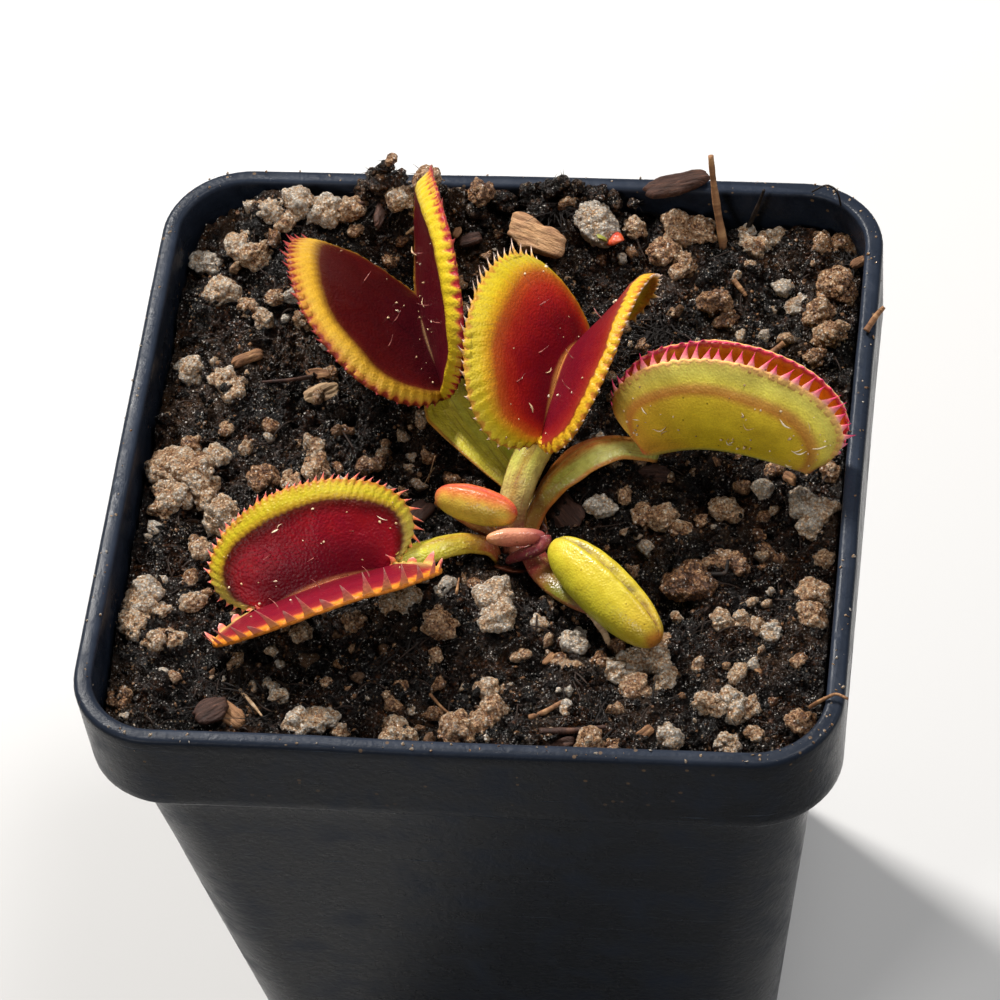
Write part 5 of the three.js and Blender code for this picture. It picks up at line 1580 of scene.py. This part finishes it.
def make_soil(peat, grain, probes):
  """The bed, the listed grains in two pieces by their radius, small grains, and the crumbs."""
  draw = np.random.default_rng(SEEDS.soil)
  piece("peat_bed", [peat_surface()], peat)
  listed = seen_grains(probes)
  large = listed[:, 3] > 1.45
  piece("tan_grains", [grain_shell(row[:3], row[3], row[4], draw) for row in listed[large]], grain)
  small = [grain_shell(row[:3], row[3], row[4], draw) for row in listed[~large]]
  piece("small_grains", small + [small_lumps(listed, draw, probes)], grain)
  for name, crumb in CRUMBS.items():
    piece(name, [crumbs_on_peat(crumb, draw, probes)], peat, smooth=False)


def make_fibres(probes):
  """Fine roots and moss stalks that lie on the peat: short curved strands with a random heading."""
  draw = np.random.default_rng(SEEDS.fibres)
  count = 430
  fibres = []
  x, y = in_pot(draw, count)
  start = draw.uniform(0, 2 * math.pi, count)
  length = draw.uniform(1.0, 4.0, count)
  curl = draw.normal(size=count) * .4
  radius = draw.uniform(.03, .11, count)
  s = np.linspace(-.5, .5, 8)
  for i in range(count):
    turn = start[i] + curl[i] * s * 2
    px = x[i] + np.cumsum(np.cos(turn)) * length[i] / 8
    py = y[i] + np.cumsum(np.sin(turn)) * length[i] / 8
    if max(np.abs(px).max(), np.abs(py).max()) > 32.0:
      continue
    lift = draw.uniform(0, .4) * (1 - (2 * s) ** 2) + draw.normal() * .12 + .1
    spine = np.stack([px, py, soil_height(px, py) + .3 + lift], -1)
    if not clear_of(spine, np.full(8, .1), probes, .2).all():
      continue
    fibres.append(strand(spine, radius[i] * (1 - .6 * np.abs(2 * s) ** 3), sides=4,
      flat=draw.uniform(.4, 1.0), lengthwise=s * length[i], crosswise=np.zeros(8)))
  return fibres


# Tufts of dark fibre: across, down and spread in the camera's view, how many, length, rise.
TUFTS = [(545, 186, 30, 170, 4.0, .6), (585, 176, 14, 60, 3.0, 1.0), (382, 176, 14, 70, 3.0, .8),
  (655, 332, 18, 170, 2.4, .4), (612, 350, 12, 60, 2.2, .2), (670, 192, 22, 60, 3.5, .0),
  (235, 705, 34, 70, 5.0, .0), (345, 388, 26, 30, 4.5, .2), (590, 735, 40, 40, 5.0, .0),
  (850, 262, 12, 40, 2.6, .2), (600, 600, 20, 30, 3.0, .0), (410, 650, 26, 40, 4.0, .0)]


def make_tufts(probes):
  """Tufts: strands that start close together on the soil, stand up at random slants and bend
  over under their own weight by the square of their length."""
  draw = np.random.default_rng(SEEDS.tufts)
  strands = []
  s = np.linspace(0, 1, 5)
  for u, v, spread, count, length, rise in TUFTS:
    spot, scale = sight(u, v, rise)
    for _ in range(count):
      foot = spot + np.array([*draw.normal(size=2) * spread * scale * .5, 0])
      foot[:2] = np.clip(foot[:2], -32, 32)
      foot[2] = float(soil_height(foot[0], foot[1])) + rise * draw.uniform(.2, 1)
      way = heading(draw.uniform(0, 2 * math.pi))
      slope = draw.uniform(.05, .7)
      long = length * draw.uniform(.4, 1)
      risen = long * slope * (s - .6 * s ** 2)
      spine = foot + way * (long * s)[:, None] + (0, 0, 1) * risen[:, None]
      spine[:, :2] = np.clip(spine[:, :2], -33, 33)
      if room_at(spine, probes).min() < .3:
        continue
      strands.append(strand(spine, draw.uniform(.04, .13) * (1.1 - s), sides=4,
        flat=draw.uniform(.4, 1.0), lengthwise=s * long, crosswise=np.zeros(5)))
  return strands


# ---- chips, bark and twigs ----

CHIPS = dict(
  wood_chip=Facts(at=(1.6, 28.2, 78.3), size=(7.6, 4.4, 1.5), turn=-24, tilt=28, seed=5),
  bark_chip_rim=Facts(at=(14.6, 33.2, 80.95), size=(7.0, 2.8, 1.2), turn=18, tilt=0, seed=9),
  bark_flake_left=Facts(at=(-22.6, -28.2, 76.1), size=(4.6, 3.0, 1.0), turn=40, tilt=0, seed=13))

TWIG = Facts(foot=(19.6, 29.4, 74.2), head=(18.2, 33.6, 84.8), bow=(-.4, .2, 0), radius=.45)


def chip_shell(chip, around=72, across=18):
  """A splintery flake: rings of an uneven outline from the middle of the top, over the edge and
  back under to the middle, with ridges along its length and layers that step down to its edge."""
  long, wide, thick = (.5 * s for s in chip.size)
  turn = circle(around)
  seed = chip.seed
  flat = np.stack([np.cos(turn), np.sin(turn), np.zeros(around)], -1)
  boxy = (np.abs(flat[:, 0]) ** 3.4 + np.abs(flat[:, 1]) ** 3.4) ** (-1 / 3.4)
  uneven = .2 * noise(flat * 1.2 + seed, 1) + .08 * noise(flat * 3 + seed, 2)
  outline = boxy * (.84 + uneven + .03 * noise(flat * 9 + seed, 6))
  share = np.concatenate([np.linspace(.02, 1, across), np.linspace(1, .02, across)])
  top = np.arange(2 * across) < across
  x = long * share[:, None] * outline * np.cos(turn)
  y = wide * share[:, None] * outline * np.sin(turn)
  place = np.stack([x / 2.8, y / .55, np.full_like(x, seed)], -1)
  body = thick * (1 - .35 * share[:, None] ** 3)
  ridges = .16 * noise(place, 3) + .08 * noise(place * 2.7, 4)
  z = np.where(top[:, None], body + ridges * (1 - share[:, None] ** 8), -body * .9 + ridges * .5)
  z = z * np.sqrt(np.clip(1.02 - share[:, None] ** 10, 0, 1))
  level, height = swung(y, z, math.radians(chip.tilt))
  points = np.stack([*swung(x, level, math.radians(chip.turn)), height], -1) + np.array(chip.at)
  return tube_shell(points, lengthwise=x, crosswise=y)


# Loose flakes of bark and wood: across and down the view, rise, size, turn, tilt, seed, kind.
FLAKES = [(563, 508, .5, (5.2, 3.4, .9), -50, 24, 21, "bark"),
  (247, 358, .7, (3.6, 1.5, .8), 30, 20, 22, "wood"), (320, 394, .7, (3.8, 2.2, .5), 35, 30, 23, "pale"),
  (420, 512, .5, (3.6, 2.4, 1.2), 60, 10, 24, "bark"), (318, 374, .6, (3.0, 1.2, .6), 5, 10, 25, "wood"),
  (230, 716, .6, (4.0, 2.4, .8), -40, 25, 26, "wood"), (655, 475, .4, (4.0, 2.2, .7), 5, 15, 27, "bark"),
  (860, 262, .8, (2.4, 1.2, .5), 40, 10, 28, "wood"), (645, 733, .6, (1.9, 1.1, .5), 50, 20, 29, "wood"),
  (560, 744, .4, (3.0, 1.4, .6), 10, 20, 30, "bark"), (550, 658, .5, (1.8, .8, .4), 60, 10, 31, "wood"),
  (790, 478, .5, (2.0, 1.2, .5), -30, 20, 32, "wood"), (755, 668, .4, (2.0, .8, .4), -40, 15, 33, "wood"),
  (360, 205, 1.0, (1.4, .9, .5), 10, 60, 34, "bark"), (470, 240, .8, (3.0, 1.6, .8), 20, 20, 35, "bark"),
  (458, 232, .6, (1.6, .9, .6), 80, 30, 36, "wood"), (380, 212, 1.6, (4.6, 1.1, .8), 84, 50, 37, "bark")]

# Loose stalks and roots: points as across, down and rise; radius at both ends; kind.
STICKS = [([(756, 369, .8), (768, 356, 1.4), (784, 343, 2.2)], (.42, .3), "wood"),
  ([(734, 280, .6), (740, 288, .7), (746, 296, .6)], (.3, .2), "wood"),
  ([(590, 612, .7), (598, 622, .9), (605, 634, .7), (611, 648, .4)], (.45, .28), "pale"),
  ([(588, 615, .5), (596, 618, 1.0), (602, 616, 1.2)], (.2, .1), "pale"),
  ([(810, 707, 1.2), (820, 701, 4.6), (836, 693, 5.6), (848, 699, 5.6)], (.2, .12), "wood"),
  ([(866, 331, 5.0), (876, 316, 5.8), (884, 307, 6.6)], (.34, .2), "wood"),
  ([(812, 192, 4.8), (826, 184, 5.6), (838, 190, 5.6), (842, 212, 3.4), (842, 236, .4)], (.1, .1), "dark"),
  ([(748, 228, .2), (758, 206, 2.4), (764, 190, 4.0)], (.26, .14), "dark"),
  ([(430, 694, .4), (440, 706, .8), (452, 716, .6), (470, 716, .3)], (.16, .08), "wood"),
  ([(240, 690, .6), (254, 706, .9), (262, 716, .6)], (.22, .1), "pale"),
  ([(530, 718, .4), (545, 712, .9), (562, 702, .6)], (.3, .2), "wood"),
  ([(540, 732, .5), (570, 731, .8), (606, 727, .7)], (.4, .2), "bark"),
  ([(428, 482, .3), (431, 470, 1.8), (435, 456, 3.4)], (.06, .04), "pale"),
  ([(423, 486, .3), (430, 474, 1.2), (434, 468, 2.0)], (.06, .04), "pale"),
  ([(318, 376, .6), (290, 380, .7), (262, 382, .6)], (.24, .12), "bark"),
  ([(700, 575, .5), (726, 574, 1.2), (728, 560, 1.6)], (.24, .14), "dark"),
  ([(424, 222, 1.6), (414, 228, 2.4), (406, 234, 2.2)], (.22, .12), "pale"),
  ([(455, 600, .3), (457, 590, 1.2), (459, 578, 1.4)], (.16, .08), "wood")]


def chip_at(flake):
  """A flake of the list, where it shows."""
  u, v, rise, size, turn, tilt, seed, _ = flake
  spot, _ = sight(u, v, rise)
  return chip_shell(Facts(at=tuple(spot), size=size, turn=turn, tilt=tilt, seed=seed), around=44, across=10)


def stick_shell(points, radii):
  """A stalk through its points: straight runs whose corners are rounded by averaging."""
  stops = np.array([sight(*p)[0] for p in points])
  place = np.linspace(0, len(stops) - 1, 28)
  spine = np.stack([np.interp(place, np.arange(len(stops)), stops[:, k]) for k in range(3)], -1)
  for _ in range(6):
    spine[1:-1] = spine[1:-1] * .5 + (spine[:-2] + spine[2:]) * .25
  width = np.linspace(*radii, 28) * (1 + .18 * noise(spine / .8, 7))
  return strand(spine, width, sides=8, lengthwise=place * 3, crosswise=np.zeros(28))


# Clods of peat on the back rim: place and radius in millimetres, and paleness.
CLODS = [(-13.8, 32.2, 79.0, 1.8, 0), (-14.2, 32.8, 80.8, 1.5, 0), (-15.8, 32.8, 79.8, 1.2, 0),
  (-12.4, 32.8, 81.0, 1.3, 0), (-13.6, 33.3, 82.4, .9, 0), (-15.0, 33.2, 81.8, .8, 0),
  (-11.0, 32.4, 79.2, 1.6, 0), (-9.0, 32.4, 79.6, 1.4, 0), (-7.4, 32.6, 78.8, 1.3, 0),
  (-13.0, 33.4, 83.4, .8, .3), (-9.4, 32.6, 81.9, 1.5, .5), (-12.0, 31.2, 80.3, 1.6, .8),
  (-4.4, 32.0, 80.5, 1.6, .35), (-4.8, 32.4, 78.6, 1.5, 0), (-2.0, 32.6, 78.8, 1.3, 0),
  (.4, 32.8, 79.6, 1.3, 0), (2.6, 33.0, 80.2, 1.3, 0), (4.8, 33.0, 80.3, 1.2, 0), (6.8, 32.8, 79.8, 1.3, 0),
  (3.6, 33.2, 81.2, .9, 0), (1.4, 32.0, 79.0, 1.5, 0), (5.8, 31.8, 78.8, 1.4, 0), (8.6, 32.4, 79.2, 1.1, 0),
  (10.6, 32.6, 78.8, .9, 0)]


def clod_surfaces(probes, pale):
  """The dark clods or the pale grains of the back rim, smaller where a leaf is near."""
  draw = np.random.default_rng(SEEDS.clods)
  made = []
  for x, y, z, radius, paleness in CLODS:
    if (paleness > 0) == pale:
      room = float(room_at(np.array([(x, y, z)]), probes)[0])
      made.append(grain_shell(np.array((x, y, z)), min(radius, max(room - .2, .3)), paleness, draw))
  return made


def rim_tufts():
  """Fibres that bristle from the clods: short strands that start inside one and bend outwards."""
  draw = np.random.default_rng(SEEDS.rim_tufts)
  s = np.linspace(0, 1, 7)
  strands = []
  for x, y, z, radius, _ in CLODS:
    for _ in range(10):
      way = unit(draw.normal(size=3) + (0, .0, .15))
      long = radius * draw.uniform(.8, 1.5)
      spine = np.array([x, y, z]) + way * (long * s)[:, None]
      spine = spine + draw.normal(size=3) * (.3 * s ** 2)[:, None] - (0, 0, .5) * (s ** 2)[:, None]
      spine[:, 1] = np.minimum(spine[:, 1], 35.6)
      strands.append(strand(spine, draw.uniform(.03, .09) * (1.1 - s), sides=4, lengthwise=s * long,
        crosswise=np.zeros(7)))
  return strands


def rim_crumbs():
  """Crumbs of earth along the rim's top and its outer edge, and some on the collar."""
  draw = np.random.default_rng(SEEDS.rim_crumbs)
  count = 230
  around = round_square(1.0, POT.rim_corner / POT.rim_half, 0, steps=40, straight=60)[:, :2]
  pick = around[draw.integers(0, len(around), count)]
  out = draw.uniform(0, 1, count) ** .6
  half = POT.rim_half - POT.rim_band * (1 - out)
  size = draw.uniform(.08, .3, count) ** 1.2
  height = np.full(count, POT.height) - (out > .93) * draw.uniform(.1, 2.0, count)
  places = np.column_stack([pick * half[:, None], height])
  return lump_shells(places, size, draw, 0, draw.uniform(.4, 1.0, count), roughness=.6, squash=(.3, 1.1))


def sprout_surfaces():
  """A sprout: two small leaves, each a flat strand that widens and closes, on one short stalk."""
  foot, _ = sight(606, 243, 1.4)
  s = np.linspace(0, 1, 14)
  leaves = []
  for tip, width in (((624, 240, 2.6), .85), ((598, 238, 3.4), .6)):
    head, _ = sight(*tip)
    spine = foot + (head - foot) * s[:, None] + (0, 0, .4) * (s * (1 - s) * 4)[:, None]
    leaves.append(strand(spine, width * np.sin(math.pi * (.08 + .9 * s)) + .03, sides=14, flat=.4))
  return leaves


def make_debris(woods, plants, grain, peat, probes):
  """The chips, the twig as a bent strand, what lies loose, and what sticks to the rim."""
  for name, chip in CHIPS.items():
    split = name == "wood_chip"
    piece(name + "_fine", [chip_shell(chip)], woods["split" if split else "bark"],
      name)
  s = np.linspace(0, 1, 40)
  foot, head = np.array(TWIG.foot), np.array(TWIG.head)
  middle = (foot + head) / 2 + TWIG.bow
  spine = bezier([foot, (foot + 2 * middle) / 3, (head + 2 * middle) / 3, head], s)
  width = TWIG.radius * (1 - .35 * s) * (1 + .2 * noise(spine / .9, 3))
  piece("twig_fine", [strand(spine, width, sides=14, lengthwise=s * 11, crosswise=np.zeros(40))],
    woods["wood"], "twig")
  for kind in ("wood", "bark", "pale", "dark"):
    loose = [chip_at(flake) for flake in FLAKES if flake[-1] == kind]
    loose += [stick_shell(points, radii) for points, radii, of in STICKS if of == kind]
    piece("loose_" + kind, loose, woods[kind])
  piece("rim_crumbs", [rim_crumbs()], grain)
  piece("rim_clods", clod_surfaces(probes, False), peat)
  piece("rim_grains", clod_surfaces(probes, True), grain)
  piece("rim_tufts", rim_tufts(), woods["dark"])
  for name, leaf in zip(("sprout_red", "sprout_green"), sprout_surfaces()):
    piece(name, [leaf], plants[name])


# ---- dust and curls on the leaves ----


def on_trap(trap, t, s, off):
  """A place on the trap's skin, inside or, with a negative distance, outside."""
  point, inward, outer, down = trap_frame(trap, np.array(t), np.array(s))
  return point + inward * (sheet_half(s) * np.sign(off) + off), inward, outer, down


def spot_on_face(name, draw, along, low, high, other_share):
  """A random t and s on the face that shows: on the shut trap always the near lobe, and otherwise
  mostly the far one, which for the front left trap is the other side."""
  t, s = draw.uniform(-along, along), draw.uniform(low, high)
  side = -1.0 if name == "right" or draw.uniform() < other_share else 1.0
  return t, -s * side if name == "front_left" else s * side


def trap_dust(name, seed):
  """Crumbs, and curled shreds, that lie on a trap: lumps, and flat strands along a short arc."""
  draw = np.random.default_rng(seed)
  trap = TRAPS[name]
  face, crumbs, shreds = (-1.0, 46, 14) if name == "right" else (1.0, 22, 3)
  spots, sizes = [], []
  for _ in range(crumbs):
    t, s = spot_on_face(name, draw, .8, .08, .9, .35)
    sizes.append(draw.uniform(.06, .17))
    spots.append(on_trap(trap, t, s, face * sizes[-1] * .4)[0])
  tints = draw.uniform(.3, 1, crumbs)
  lying = [lump_shells(np.array(spots), np.array(sizes), draw, 0, tints, roughness=.6, squash=(.5, 1.2))]
  q = np.linspace(-1, 1, 9)
  for _ in range(shreds):
    t, s = spot_on_face(name, draw, .7, .15, .85, .3)
    place, inward, outer, down = on_trap(trap, t, s, face * .08)
    angle = draw.uniform(0, math.pi)
    way = outer * math.cos(angle) + down * math.sin(angle)
    long = draw.uniform(.25, .8)
    bend = draw.normal() * .35
    spine = place + way * (long * q)[:, None] + np.cross(inward, way) * (bend * long * q ** 2)[:, None]
    spine = spine + inward * (face * .12 * long * (1 + np.cos(q * 3)))[:, None]
    width = draw.uniform(.04, .11) * (1.05 - np.abs(q) ** 2)
    lying.append(strand(spine, width, sides=5, flat=.5, tint=np.full(9, draw.uniform(.5, 1.0))))
  return lying


def dust_finish():
  """Dry crumbs on the leaves: tan to cream by their tint."""
  finish, shader, place = new_finish("leaf_dust", Roughness=.5)
  colour = ramp(trait("tint"), [(.2, 150, 108, 74), (.6, 216, 184, 140), (1, 250, 236, 206)])
  feed(shader["Base Color"], mottled(place, 4.0, .4, colour))
  return finish


# ---- the whole ----

place_camera()
light_the_studio()
lay_floor()

peat = peat_finish()
grain = grain_finish()
woods = {kind: wood_finish(*facts) for kind, facts in WOODS.items()}
plants = {kind: plain_plant_finish(*facts) for kind, facts in SMALL_PLANTS.items()}
dust = dust_finish()

make_pot(plastic_finish())
probes = leaf_probes()
make_soil(peat, grain, probes)
piece("moss_fibres", make_fibres(probes), woods["moss"])
piece("dark_tufts", make_tufts(probes), woods["dark"])
piece("rhizome_fine", crown_surfaces(), plants["crown"], "rhizome")

TRAP_SLOTS = dict(back_left="maroon_leaf", centre="red_leaf", front_left="crimson_leaf", right="green_leaf")
for seed, (name, slot) in enumerate(TRAP_SLOTS.items()):
  node = "leaf_" + name
  trap = TRAPS[name]
  trap_seed = SEEDS.trap + seed * 10
  folded = [trap_sheet(trap, trap_seed)] + trap_teeth(trap, trap_seed + 1)
  piece(node + "_trap", folded, trap_finish("trap_" + name, TRAP_LOOKS[name]), node, weld=.0005)
  if name != "right":   # the right trap is shut
    piece(node + "_hairs", trigger_hairs(trap), plants["hair"], node)
  petiole = petiole_surface(PETIOLES[name], trap, SEEDS.petiole + seed)
  piece(node + "_petiole", [petiole], petiole_finish("petiole_" + name, PETIOLE_LOOKS[name]), node)
  piece(node + "_dust", trap_dust(name, SEEDS.dust + seed), dust, node)

POD_SLOTS = dict(upper="young_leaf", small="pink_leaf", front="yellow_leaf")
for seed, (name, slot) in enumerate(POD_SLOTS.items()):
  node = "young_leaf_" + name
  pod = pod_surface(YOUNG[name], SEEDS.pod + seed)
  piece(node + "_pod", [pod], pod_finish("pod_" + name, POD_LOOKS[name]), node)
  stalk = stem_surface(YOUNG[name])
  piece(node + "_stalk", [stalk], petiole_finish("stalk_" + name, STALK_LOOKS[name]), node)

make_debris(woods, plants, grain, peat, probes)
